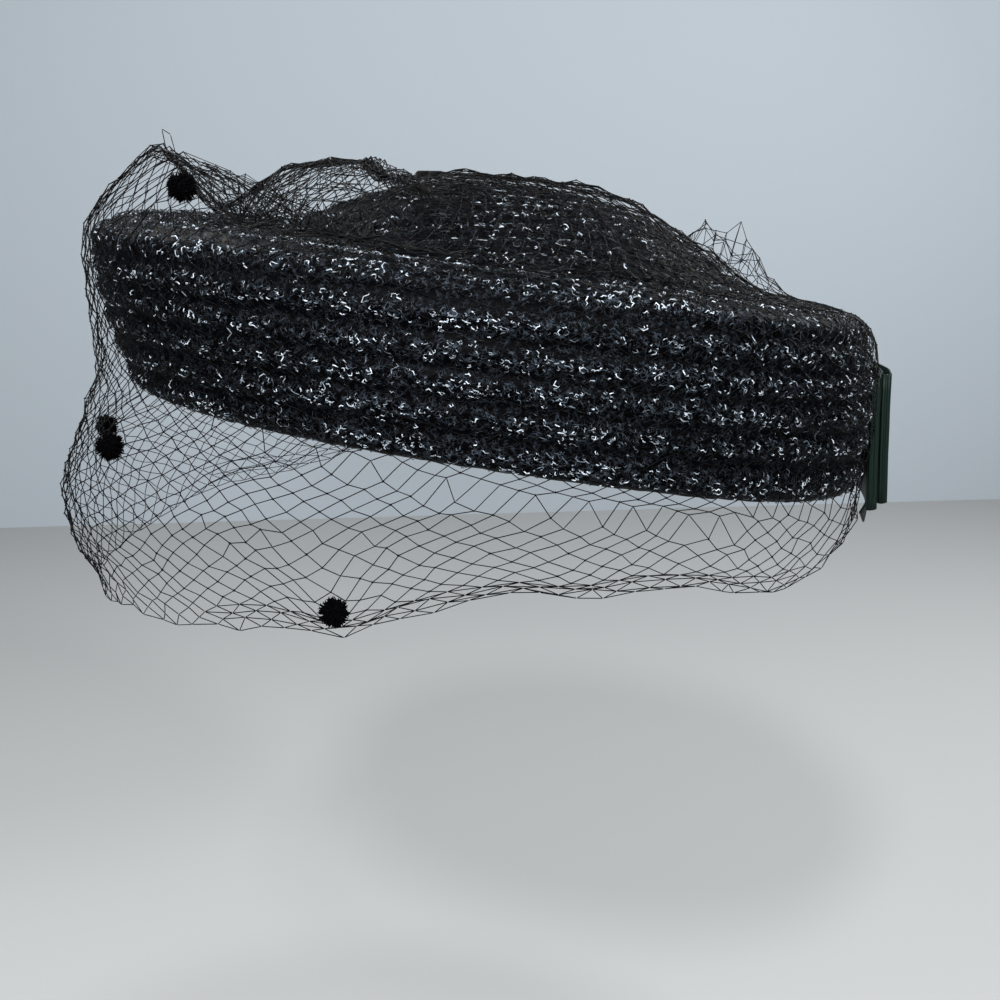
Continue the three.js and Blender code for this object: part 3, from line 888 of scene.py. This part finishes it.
class HAT_OT_stage(bpy.types.Operator):
    """Makes the floor, the backdrop, the lights and the camera"""

    bl_idname = "hat.stage"
    bl_label = "Stage"

    def execute(self, context):
        settings = context.scene.hat_stage
        floor = bmesh.new()
        bmesh.ops.create_grid(floor, x_segments=1, y_segments=1, size=STAGE_HALF)
        bmesh.ops.translate(floor, verts=floor.verts, vec=(0, 0, -settings.floor_drop))
        wall = bmesh.new()
        bmesh.ops.create_grid(wall, x_segments=1, y_segments=1, size=STAGE_HALF)
        bmesh.ops.rotate(wall, verts=wall.verts, matrix=Matrix.Rotation(-math.pi / 2, 3, "Y"))
        bmesh.ops.translate(wall, verts=wall.verts, vec=(BACKDROP_X, 0, 0))
        for name, shape, colour in [
            ("floor", floor, settings.floor_colour),
            ("backdrop", wall, settings.wall_colour),
        ]:
            mesh = bpy.data.meshes.new(name)
            shape.to_mesh(mesh)
            shape.free()
            mesh.materials.append(paint_material(name + " paint", colour, STAGE_ROUGHNESS[name]))
            piece = bpy.data.objects.new(name, mesh)
            context.scene.collection.objects.link(piece)
        world = bpy.data.worlds.new("studio")
        world.use_nodes = True
        world.node_tree.nodes["Background"].inputs["Color"].default_value = linear(SKY["colour"])
        world.node_tree.nodes["Background"].inputs["Strength"].default_value = SKY["strength"]
        context.scene.world = world
        context.scene.view_settings.view_transform = "Standard"
        for lamp in LAMPS:
            data = bpy.data.lights.new(lamp["name"], "AREA")
            data.shape = "DISK"
            data.size = lamp["size"]
            data.energy = lamp["power"]
            light = bpy.data.objects.new(lamp["name"], data)
            light.location = lamp["place"]
            aim = Vector(lamp.get("aim", (0, 0, 0))) - Vector(lamp["place"])
            light.rotation_euler = aim.to_track_quat("-Z", "Y").to_euler()
            context.scene.collection.objects.link(light)
        self.make_camera(context, settings)
        return {"FINISHED"}

    def make_camera(self, context, settings):
        azimuth = settings.camera_azimuth
        distance = settings.camera_distance / MM
        place = Vector((distance * math.cos(azimuth), CAMERA_Y - distance * math.sin(azimuth), CAMERA_Z))
        heading = azimuth + CAMERA_TURN
        level = Vector((-math.cos(heading), math.sin(heading), 0))
        right = Vector((math.sin(heading), math.cos(heading), 0))
        up = Vector((0, 0, 1))
        look = level * math.cos(CAMERA_PITCH) - up * math.sin(CAMERA_PITCH)
        upright = up * math.cos(CAMERA_PITCH) + level * math.sin(CAMERA_PITCH)
        turned_right = right * math.cos(CAMERA_ROLL) + upright * math.sin(CAMERA_ROLL)
        turned_up = upright * math.cos(CAMERA_ROLL) - right * math.sin(CAMERA_ROLL)
        axes = Matrix((TIP @ turned_right, TIP @ turned_up, TIP @ -look)).transposed()
        data = bpy.data.cameras.new("camera")
        data.sensor_width = CAMERA_SENSOR
        data.lens = CAMERA_FOCAL_PIXELS / PICTURE_WIDTH * CAMERA_SENSOR
        data.clip_start = CAMERA_NEAR
        camera = bpy.data.objects.new("camera", data)
        camera.matrix_world = Matrix.Translation(TIP @ place * MM) @ axes.to_4x4()
        context.scene.collection.objects.link(camera)
        context.scene.camera = camera


def mesh_from_shape(name, shape, seam):
    """Closes a bent grid along its seam, turns its faces outwards and makes it a smooth mesh."""
    bmesh.ops.remove_doubles(shape, verts=shape.verts, dist=seam)
    bmesh.ops.recalc_face_normals(shape, faces=shape.faces)
    for face in shape.faces:
        face.smooth = True
    mesh = bpy.data.meshes.new(name)
    shape.to_mesh(mesh)
    shape.free()
    return mesh


class HAT_OT_crown(bpy.types.Operator):
    """Makes the ribbed braid body of the crown"""

    bl_idname = "hat.crown"
    bl_label = "Crown"

    def execute(self, context):
        settings = context.scene.hat_straw
        wall = settings.wall_thickness / MM
        outside = BRAID_STEPS["outside"]
        inside = BRAID_STEPS["inside"]
        down = np.linspace(FIRST_ROW, LAST_ROW, outside)
        up = np.linspace(LAST_ROW, FIRST_ROW, inside)
        rows = np.concatenate([down, [LAST_ROW], up])
        lifts = np.concatenate([np.zeros(outside), [-wall / 2], np.full(inside, -wall)])
        ribs = np.concatenate([np.ones(outside), [EDGE_RIBS], np.full(inside, INSIDE_RIBS)])
        shape = bmesh.new()
        bmesh.ops.create_grid(shape, x_segments=BRAID_STEPS["around"], y_segments=len(rows) - 1, size=0.5)
        flat = np.array([vert.co for vert in shape.verts])
        angle = (flat[:, 0] + 0.5) * 2 * math.pi
        index = np.rint((flat[:, 1] + 0.5) * (len(rows) - 1)).astype(int)
        row = rows[index]
        is_outside = ribs[index] > 0
        skin = crown_skin(row_station(row), angle)
        raised = rib_lift(row, angle, settings.rib_height / MM) * ribs[index] + lifts[index]
        raised = raised + crinkle(skin, **BRAID_CRINKLE) * CRINKLE_HEIGHT * is_outside
        raised = np.where(row <= FIRST_ROW + SAME_ROW, lifts[index], raised)
        points = tipped(skin + crown_normal(row, angle) * raised[:, None])
        layer = shape.verts.layers.float.new("tone")
        # The tone is painted light: the rows' painted light outside, one even level of it inside.
        shine = np.where(is_outside, painted_row_light(row, angle), INSIDE_TONE)
        for vert, point, value in zip(shape.verts, points, shine):
            vert.co = point
            vert[layer] = value
        mesh = mesh_from_shape("straw_crown", shape, CROWN_SEAM)
        piece = new_object("straw_crown", mesh, straw_material(settings))
        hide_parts("crown")
        return {"FINISHED"}


def from_crown_middle(skin):
    """Level distance of points from the upright line through the middle of the crown."""
    return np.hypot(skin[:, 0], skin[:, 1] - CROWN_MIDDLE_Y)


class HAT_OT_curls(bpy.types.Operator):
    """Covers the braid in loose curls of glossy straw"""

    bl_idname = "hat.curls"
    bl_label = "Straw curls"

    def execute(self, context):
        settings = context.scene.hat_straw
        rng = np.random.default_rng(CURL_SEED)
        row, angle = self.places(settings.curl_count, rng)
        skin = crown_skin(row_station(row), angle)
        points = self.paths(settings, row, angle, skin, rng)
        tone = self.tones(row, angle, skin, rng)
        material = curl_material(settings)
        for name, chosen in [
            ("straw_curls_tip", row < TIP_CURL_ROWS),
            ("straw_curls_top", (row >= TIP_CURL_ROWS) & (row < TOP_CURL_ROWS)),
            ("straw_curls_side_left", (row >= TOP_CURL_ROWS) & (np.sin(angle) >= 0)),
            ("straw_curls_side_right", (row >= TOP_CURL_ROWS) & (np.sin(angle) < 0)),
        ]:
            paths = tipped(points[chosen])
            radius = settings.straw_radius * (CURL_RADIUS["least"] + CURL_RADIUS["by_tone"] * tone[chosen])
            verts, faces = thread_arrays(paths, radius, rng)
            tones = np.repeat(tone[chosen], len(verts) // len(paths))
            piece = new_object(name, mesh_from_arrays(name, verts, faces, tones), material)
        return {"FINISHED"}

    def places(self, total, rng):
        """Rows and angles of the curls, evenly dense over the crown but for fewer in the seams."""
        draws = total * CURL_DRAWS_EACH
        row = rng.uniform(CURL_FIRST_ROW, LAST_ROW, draws)
        angle = rng.uniform(0, 2 * math.pi, draws)
        girth = from_crown_middle(crown_skin(row_station(row), angle)) / CROWN_MEAN_RADIUS
        keep = rng.uniform(0, 1, draws) < girth * lerp(CURL_IN_SEAM, 1, crest_share(row, angle))
        return row[keep][:total], angle[keep][:total]

    def paths(self, settings, row, angle, skin, rng):
        """Crimped filaments: short straight runs that turn mostly one way, as hooks, or to and fro."""
        each = (len(row), CURL_POINTS)
        one = (len(row), 1)
        turns = rng.uniform(*CURL_TURNS, each)
        turns *= np.where(rng.uniform(0, 1, each) < CURL_TURNS_BACK, -1, 1)
        heading = rng.uniform(0, 2 * math.pi, one) + np.cumsum(turns, axis=1)
        size = settings.curl_size / MM * rng.lognormal(0, CURL_SIZE_SPREAD, one)
        runs = size * rng.uniform(*CURL_RUNS, each)
        along = np.cumsum(runs * np.cos(heading) * CURL_STRETCH["along"], axis=1)
        down = np.cumsum(runs * np.sin(heading) * CURL_STRETCH["down"], axis=1)
        along -= along.mean(axis=1, keepdims=True)
        down -= down.mean(axis=1, keepdims=True)
        path_angle = angle[:, None] + along / (from_crown_middle(skin)[:, None] + CURL_TIP_MARGIN)
        path_row = row[:, None] + down / CURL_MM_PER_ROW
        path_row = np.clip(path_row, CURL_EDGE_ROWS[0], LAST_ROW - CURL_EDGE_ROWS[1])
        lift = CURL_LIFT + rng.uniform(0, CURL_EXTRA_LIFT, each)
        lift[:, 0] = -CURL_LIFT
        lift[:, -1] = -CURL_LIFT
        return crown_surface(path_row, path_angle, settings.rib_height / MM, lift)

    def tones(self, row, angle, skin, rng):
        """A tone of painted light for each curl: a few get a painted highlight, in patches and where the
        braid's painted light is strong. The rest are dark, darker still as painted shade where that light is
        weak.
        """
        patch = 1 + CURL_PATCH_CONTRAST * crinkle(skin, **CURL_PATCHES)
        shine = painted_row_light(row, angle) * np.clip(patch, *CURL_PATCH_RANGE)
        bright = rng.uniform(0, 1, len(row)) < CURL_PAINTED_HIGHLIGHT_SHARE * shine
        light = rng.uniform(*CURL_PAINTED_HIGHLIGHT_TONES, len(row))
        # Dark curls are darker where the painted light is weak, as painted shade.
        dark = rng.uniform(*CURL_DARK_TONES, len(row)) * (0.5 + 0.5 * np.clip(shine, 0, 1))
        return np.where(bright, light, dark)


def nearest_knot(knots, place):
    """The knot of the net that lies closest to a place."""
    gap = np.linalg.norm(knots - place, axis=-1)
    return knots[np.unravel_index(gap.argmin(), gap.shape)].copy()


class HAT_OT_veil(bpy.types.Operator):
    """Makes the net veil of knotted thread"""

    bl_idname = "hat.veil"
    bl_label = "Veil"

    def execute(self, context):
        settings = context.scene.hat_veil
        rng = np.random.default_rng(NET_SEED)
        knots = self.even_knots(settings.columns, settings.half_rows)
        self.loosen(knots, settings.looseness / MM, rng)
        self.keep_off_crown(knots)
        self.stand_up(knots)
        self.draw_to_dots(knots)
        paths = self.threads(knots, rng)
        low = paths.mean(axis=1)[:, 2] < NET_SPLIT_HEIGHT
        places = knots[KNOTLESS_ROWS["top"] : -KNOTLESS_ROWS["hem"]].reshape(-1, 3)
        tied_low = places[:, 2] < NET_SPLIT_HEIGHT
        material = net_material(settings)
        for name, chosen, tied in [("net_veil", low, tied_low), ("net_veil_top", ~low, ~tied_low)]:
            parts = [
                thread_arrays(tipped(paths[chosen]), settings.thread_radius, rng),
                knot_arrays(tipped(places[tied]), settings.knot_radius, rng),
            ]
            verts, faces = join_arrays(parts)
            piece = new_object(name, mesh_from_arrays(name, verts, faces), material)
            if name == "net_veil":
                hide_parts("veil")
        return {"FINISHED"}

    def even_knots(self, columns, rows):
        """Knots of an even net from the top to the hem, every other row shifted by half a mesh."""
        knots = np.zeros((rows + 1, columns, 3))
        for half in (0, 1):
            turn = (np.arange(columns) + half / 2) / columns
            angle = 2 * math.pi * turn - NET_SHIFT * np.sin(2 * math.pi * turn)
            dense = smooth_lines(veil_levels(angle), NET_STEPS)
            steps = np.linalg.norm(np.diff(dense, axis=0), axis=-1)
            length = np.concatenate([np.zeros((1, columns)), np.cumsum(steps, axis=0)])
            for row in range(half, rows + 1, 2):
                for column in range(columns):
                    line = length[:, column]
                    bunched = lerp(*NET_HEM_REACH, math.sin(angle[column]) ** NET_HEM_POWER)
                    reach = np.interp(row / rows, NET_ROW_SHARES, [0, NET_TIP_REACH, bunched, 1])
                    at = NET_TOP_GAP + (line[-1] - NET_TOP_GAP) * reach
                    for axis in range(3):
                        knots[row, column, axis] = np.interp(at, line, dense[:, column, axis])
        return knots

    def loosen(self, knots, loose, rng):
        """Shifts the knots by a seeded draw and by long waves, and those of the hem a little more."""
        rows = len(knots) - 1
        share = np.clip(np.arange(rows + 1) / rows * NET_LOOSE["by_share"], NET_LOOSE["least"], 1)
        share = share[:, None, None]
        knots += rng.normal(size=knots.shape) * loose * share
        for axis in range(3):
            wave = crinkle(knots, NET_WAVES["seed"] + axis, NET_WAVES["shortest"], NET_WAVES["longest"])
            knots[..., axis] += wave * NET_WAVE_HEIGHT * share[..., 0]
        knots[rows] += rng.normal(size=knots[rows].shape) * loose

    def keep_off_crown(self, knots):
        """Lifts each knot that would lie in the straw to just above it, and draws those near it closer."""
        rows = np.linspace(0, LAST_ROW, CLEAR_STEPS["down"])
        around = CLEAR_STEPS["around"]
        angles = np.linspace(0, 2 * math.pi, around, endpoint=False)
        row, angle = np.meshgrid(rows, angles, indexing="ij")
        skin = crown_skin(row_station(row), angle)
        verts = [Vector(point) for point in skin.reshape(-1, 3)]
        faces = []
        for i in range(len(rows) - 1):
            for j in range(around):
                k = (j + 1) % around
                faces.append((i * around + j, (i + 1) * around + j, (i + 1) * around + k, i * around + k))
        tree = BVHTree.FromPolygons(verts, faces)
        flat = knots.reshape(-1, 3)
        for index, point in enumerate(flat):
            place, normal, _, distance = tree.find_nearest(Vector(point))
            away = Vector(point) - place
            side = away.dot(normal)
            inside = side < 0 and distance < CLEAR_INSIDE_REACH
            if (distance < CLEAR_GAP or inside) and place.z > CLEAR_LOWEST:
                flat[index] = place + normal * CLEAR_GAP
            elif distance < CLING_REACH and place.y > CLING_FRONT_Y and place.z > CLING_LOWEST and side > 0:
                flat[index] = place + away * (CLEAR_GAP + CLING_SHARE * (distance - CLEAR_GAP)) / distance

    def stand_up(self, knots):
        """On the tip the net stands off in small tufts, and behind the dome a fold of it sticks up."""
        rows = len(knots) - 1
        on_tip = (np.arange(rows + 1) < rows * TUFT_ROWS)[:, None]
        tufts = np.abs(crinkle(knots, **TUFTS)) * TUFT_HEIGHT * on_tip
        across = (knots[..., 0] - FOLD["x"]) / FOLD["half_width"]
        along = (knots[..., 1] - FOLD["y"]) / FOLD["half_length"]
        ragged = 1 + FOLD["raggedness"] * crinkle(knots, **FOLD_CRINKLE)
        knots[..., 2] += tufts + FOLD["height"] * np.exp(-(across**2) - along**2) * ragged

    def draw_to_dots(self, knots):
        """Draws the net to each dot, which is sewn on one of its knots."""
        for number in range(1, DOT_COUNT + 1):
            low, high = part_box("veil_dot_%d" % number)
            centre = (np.array(low) + np.array(high)) / 2 / MM @ np.array(TIP)
            nearest = nearest_knot(knots, centre)
            spread = np.linalg.norm(knots - nearest, axis=-1, keepdims=True)
            knots += (centre - nearest) * np.exp(-((spread / DOT_PULL_RADIUS) ** 2))

    def threads(self, knots, rng):
        """Paths of all the threads between the knots, thinned to a point at both ends."""
        rows = len(knots) - 1
        columns = knots.shape[1]
        here = np.arange(columns)
        starts = []
        ends = []
        for row in range(rows):
            other = (here + (1 if row % 2 else -1)) % columns
            for target in (here, other):
                starts.append(knots[row, here])
                ends.append(knots[row + 1, target])
        # The hem is bound by a thread along the last knots, and by more of them at the hat's sides.
        at_side = np.abs(np.sin(2 * math.pi * here / columns)) > HEM_SIDES
        for row in range(rows - HEM_ROWS, rows + 1):
            bound = at_side if row < rows else np.ones(columns, dtype=bool)
            starts.append(knots[row][bound])
            ends.append(np.roll(knots[row], -1, axis=0)[bound])
        # Over the front of the tip the net is gathered, and threads lie across each other.
        count = GATHERS["count"]
        row = rng.integers(*GATHERS["rows"], count)
        column = rng.integers(*GATHERS["columns"], count)
        starts.append(knots[row, column])
        lower = row + rng.integers(*GATHERS["down"], count)
        ends.append(knots[lower, column + rng.integers(*GATHERS["across"], count)])
        # One slack thread stands up over the front as a hook, tied to a knot at both ends.
        slack = np.array(SLACK_THREAD)
        for end in (0, -1):
            slack[end] = nearest_knot(knots, slack[end])
        starts.append(slack[:-1])
        ends.append(slack[1:])
        shares = np.array(THREAD_SHARES)[None, :, None]
        return np.concatenate(starts)[:, None] * (1 - shares) + np.concatenate(ends)[:, None] * shares


class HAT_OT_dots(bpy.types.Operator):
    """Makes the chenille dots on the veil"""

    bl_idname = "hat.dots"
    bl_label = "Dots"

    def execute(self, context):
        settings = context.scene.hat_dots
        material = chenille_material(settings)
        pile = settings.pile_length
        for number in range(1, DOT_COUNT + 1):
            node = "veil_dot_%d" % number
            low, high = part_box(node)
            centre = np.array((Vector(low) + Vector(high)) / 2)
            radius = (high[0] - low[0]) / 2
            rng = np.random.default_rng(DOT_SEED + number)
            core = bmesh.new()
            core_radius = radius - pile * DOT_CORE_DEPTH
            bmesh.ops.create_icosphere(core, subdivisions=DOT_CORE_DIVISIONS, radius=core_radius)
            for vert in core.verts:
                vert.co *= 1 + rng.uniform(-DOT_CORE_ROUGHNESS, DOT_CORE_ROUGHNESS)
            bmesh.ops.translate(core, verts=core.verts, vec=centre)
            bmesh.ops.triangulate(core, faces=core.faces)
            core_points = np.array([vert.co for vert in core.verts])
            core_faces = np.array([[vert.index for vert in face.verts] for face in core.faces])
            core.free()
            aim = unit(rng.normal(size=(settings.tufts, 3)))
            side = unit(np.cross(aim, rng.normal(size=(settings.tufts, 3))))
            root = centre + aim * (radius - pile * TUFT_ROOT_DEPTH)
            length = pile * rng.uniform(*TUFT_LENGTHS, (settings.tufts, 1))
            paths = np.stack(
                [
                    root + aim * length * share + side * length * TUFT_BEND * share**2
                    for share in np.linspace(0, 1, TUFT_POINTS)
                ],
                axis=1,
            )
            tufts, tuft_faces = thread_arrays(paths, TUFT_RADIUS, rng)
            verts, faces = join_arrays([(core_points, core_faces), (tufts, tuft_faces)])
            tones = np.concatenate([np.zeros(len(core_points)), np.ones(len(tufts))])
            name = "chenille_dot_%d" % number
            piece = new_object(name, mesh_from_arrays(name, verts, faces, tones), material)
            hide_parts(node)
        return {"FINISHED"}


class HAT_OT_bow(bpy.types.Operator):
    """Makes the ribbon bow at the back"""

    bl_idname = "hat.bow"
    bl_label = "Bow"

    def execute(self, context):
        settings = context.scene.hat_bow
        material = grosgrain_material(settings)
        width = settings.ribbon_width / MM
        for loop in LOOPS:
            name = "loop_" + loop["name"]
            points = self.loop(width, **loop)
            self.ribbon("ribbon_" + name, "bow_" + name, points, material, (width, loop["cut"]))
        self.ribbon("ribbon_band", "bow_band", self.band(width), material, (BAND["width"], BAND["cut"]))
        self.ribbon("ribbon_tail", "bow_tail", self.tail(), material, TAIL_FLAT, area=TAIL_AREA)
        return {"FINISHED"}

    def across(self):
        """Places over the ribbon's width, from its lower to its upper edge."""
        return np.linspace(-0.5, 0.5, RIBBON_STEPS)

    def fullness(self, x, full):
        """Depth of a loop at a place along it: drawn in at the middle and fuller outwards."""
        return lerp(LOOP_DRAWN_IN, full, np.clip(np.abs(x) / LOOP_FULL_AT, 0, 1) ** LOOP_FULL_POWER)

    def loop(self, width, length, start, full, layer, **_):
        """A flattened loop of ribbon with round ends. Layer 1 lies on the back of layer 0."""
        radius = full / 2
        straight = length / 2 - radius
        along = straight * np.linspace(-1, 1, LOOP_STEPS["straight"])
        below = layer * self.fullness(along, LOOPS[0]["full"])
        front = BOW_FRONT_Y - LOOP_INSET + start + below
        turn = np.linspace(-math.pi / 2, math.pi / 2, LOOP_STEPS["end"])[1:-1]
        end_x = straight + radius * np.cos(turn)
        end_y = radius * np.sin(turn)
        end = front[-1] + radius
        x = np.concatenate([along, end_x, -along, -end_x])
        y = np.concatenate([front, end + end_y, front + self.fullness(along, full), end - end_y])
        x = np.append(x, x[0])[:, None]
        y = np.append(y, y[0])[:, None]
        wide = self.across()[None]
        edge = (2 * wide) ** 2
        points = np.zeros((len(x), RIBBON_STEPS, 3))
        points[..., 0] = x - LOOP_END_ROUND * edge * np.sign(x) * (np.abs(x) > straight)
        points[..., 1] = y + LOOP_CUP * edge * np.where(np.abs(x) < straight, 0, LOOP_END_CUP)
        points[..., 2] = BOW_CENTRE_Z + wide * width
        # Long shallow folds run out from the drawn-in middle.
        waves = np.sin(2 * math.pi * wide * LOOP_FOLDS["count"] + LOOP_FOLDS["phase"])
        points[..., 1] += waves * LOOP_FOLDS["height"] * np.exp(-np.abs(x) / LOOP_FOLDS["length"])
        return points

    def band(self, width):
        """The band drawn round the middle of the loops."""
        high = width / 2 + BAND["overlap"]
        low_y = BOW_FRONT_Y - BAND["inset"]
        deep = BAND["depth"]
        radius = BAND["corner"]
        corners = [
            (low_y + radius, high - radius, math.pi / 2),
            (low_y + deep - radius, high - radius, 0),
            (low_y + deep - radius, -high + radius, -math.pi / 2),
            (low_y + radius, -high + radius, -math.pi),
        ]
        path = []
        for y, z, start in corners:
            for step in range(BAND_STEPS["corner"] + 1):
                turn = start + math.pi / 2 * (1 - step / BAND_STEPS["corner"])
                path.append((y + radius * math.cos(turn), z + radius * math.sin(turn)))
        path.append(path[0])
        path = np.array(path)
        dense = []
        for a, b in zip(path[:-1], path[1:]):
            parts = max(1, int(np.hypot(*(b - a)) / BAND_STEPS["length"]))
            dense += [lerp(a, b, step / parts) for step in range(parts)]
        y, z = np.array(dense + [path[-1]]).T[..., None]
        wide = self.across()[None]
        points = np.zeros((len(y), RIBBON_STEPS, 3))
        waist = 1 - BAND_WAIST * np.cos(np.clip(z / high, -1, 1) * math.pi / 2)
        points[..., 0] = wide * BAND["width"] * waist
        pleat = BAND_PLEATS["height"] * np.cos(2 * math.pi * wide * BAND_PLEATS["count"])
        points[..., 1] = y + pleat * np.where(y > low_y + deep / 2, 1, BAND_PLEATS["inner_share"])
        points[..., 2] = BOW_CENTRE_Z + z
        return points

    def tail(self):
        """The short cut end of ribbon that hangs under the loops."""
        x = np.linspace(TAIL["start"], TAIL["end"], TAIL_STEPS["across"])[None]
        share = np.linspace(0, 1, TAIL_STEPS["down"])[:, None]
        middle = (TAIL["start"] + TAIL["end"]) / 2
        ends = [TAIL["side_end"], TAIL["point_end"], TAIL["side_end"]]
        points = np.zeros((TAIL_STEPS["down"], TAIL_STEPS["across"], 3))
        points[..., 0] = x
        points[..., 1] = BOW_FRONT_Y + TAIL["outset"] - TAIL["lean"] * (x - TAIL["start"]) * share**2
        points[..., 2] = lerp(TAIL["top"], np.interp(x, [TAIL["start"], middle, TAIL["end"]], ends), share)
        return points

    def ribbon(self, name, node, points, material, flat, area=None):
        """Makes one piece of ribbon from points along and across it. The last along may meet the first."""
        along, across = points.shape[:2]
        middle = points[:, across // 2]
        length = np.concatenate([[0], np.cumsum(np.linalg.norm(np.diff(middle, axis=0), axis=-1))])
        shape = bmesh.new()
        layer = shape.loops.layers.uv.new("UVMap")
        bmesh.ops.create_grid(shape, x_segments=along - 1, y_segments=across - 1, size=0.5)
        shape.verts.index_update()
        places = []
        for vert in shape.verts:
            i = round((vert.co.x + 0.5) * (along - 1))
            j = round((vert.co.y + 0.5) * (across - 1))
            places.append((i, j))
        for face in shape.faces:
            for corner in face.loops:
                i, j = places[corner.vert.index]
                corner[layer].uv = (length[i] * MM, j / (across - 1) * flat[0] * MM)
        y = points[..., 1] - points[..., 0] ** 2 / (2 * BOW_BEND_RADIUS) - BOW_FRONT_Y
        z = points[..., 2] - BOW_CENTRE_Z
        leaned = points.copy()
        leaned[..., 1] = y * math.cos(BOW_TILT) - z * math.sin(BOW_TILT) + BOW_FRONT_Y
        leaned[..., 2] = y * math.sin(BOW_TILT) + z * math.cos(BOW_TILT) + BOW_CENTRE_Z
        leaned = tipped(leaned)
        for vert, (i, j) in zip(shape.verts, places):
            vert.co = leaned[i, j]
        piece = new_object(name, mesh_from_shape(name, shape, RIBBON_SEAM), material)
        wall = piece.modifiers.new("thickness", "SOLIDIFY")
        wall.thickness = RIBBON_THICKNESS
        wall.offset = -1
        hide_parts(node)


class HAT_PT_panel(bpy.types.Panel):
    """Sizes and colours of the hat, and its pieces"""

    bl_label = "Pillbox hat"
    bl_idname = "HAT_PT_panel"
    bl_space_type = "VIEW_3D"
    bl_region_type = "UI"
    bl_category = "Hat"

    def draw(self, context):
        for group, operators in PANEL_ROWS:
            box = self.layout.box()
            settings = getattr(context.scene, group)
            for name in settings.__annotations__:
                box.prop(settings, name)
            for operator in operators:
                box.operator(operator)


SETTINGS = {
    "hat_stage": HatStageSettings,
    "hat_straw": HatStrawSettings,
    "hat_veil": HatVeilSettings,
    "hat_dots": HatDotSettings,
    "hat_bow": HatBowSettings,
}
PANEL_ROWS = [
    ("hat_stage", ["hat.stage"]),
    ("hat_straw", ["hat.crown", "hat.curls"]),
    ("hat_veil", ["hat.veil"]),
    ("hat_dots", ["hat.dots"]),
    ("hat_bow", ["hat.bow"]),
]
OPERATORS = [HAT_OT_stage, HAT_OT_crown, HAT_OT_curls, HAT_OT_veil, HAT_OT_dots, HAT_OT_bow]


def register():
    for name, group in SETTINGS.items():
        bpy.utils.register_class(group)
        setattr(bpy.types.Scene, name, bpy.props.PointerProperty(type=group))
    for operator in OPERATORS:
        bpy.utils.register_class(operator)
    bpy.utils.register_class(HAT_PT_panel)


def unregister():
    bpy.utils.unregister_class(HAT_PT_panel)
    for operator in reversed(OPERATORS):
        bpy.utils.unregister_class(operator)
    for name, group in SETTINGS.items():
        delattr(bpy.types.Scene, name)
        bpy.utils.unregister_class(group)


def main():
    register()
    for _, operators in PANEL_ROWS:
        for operator in operators:
            getattr(bpy.ops.hat, operator.split(".")[1])()


if __name__ == "__main__":
    main()
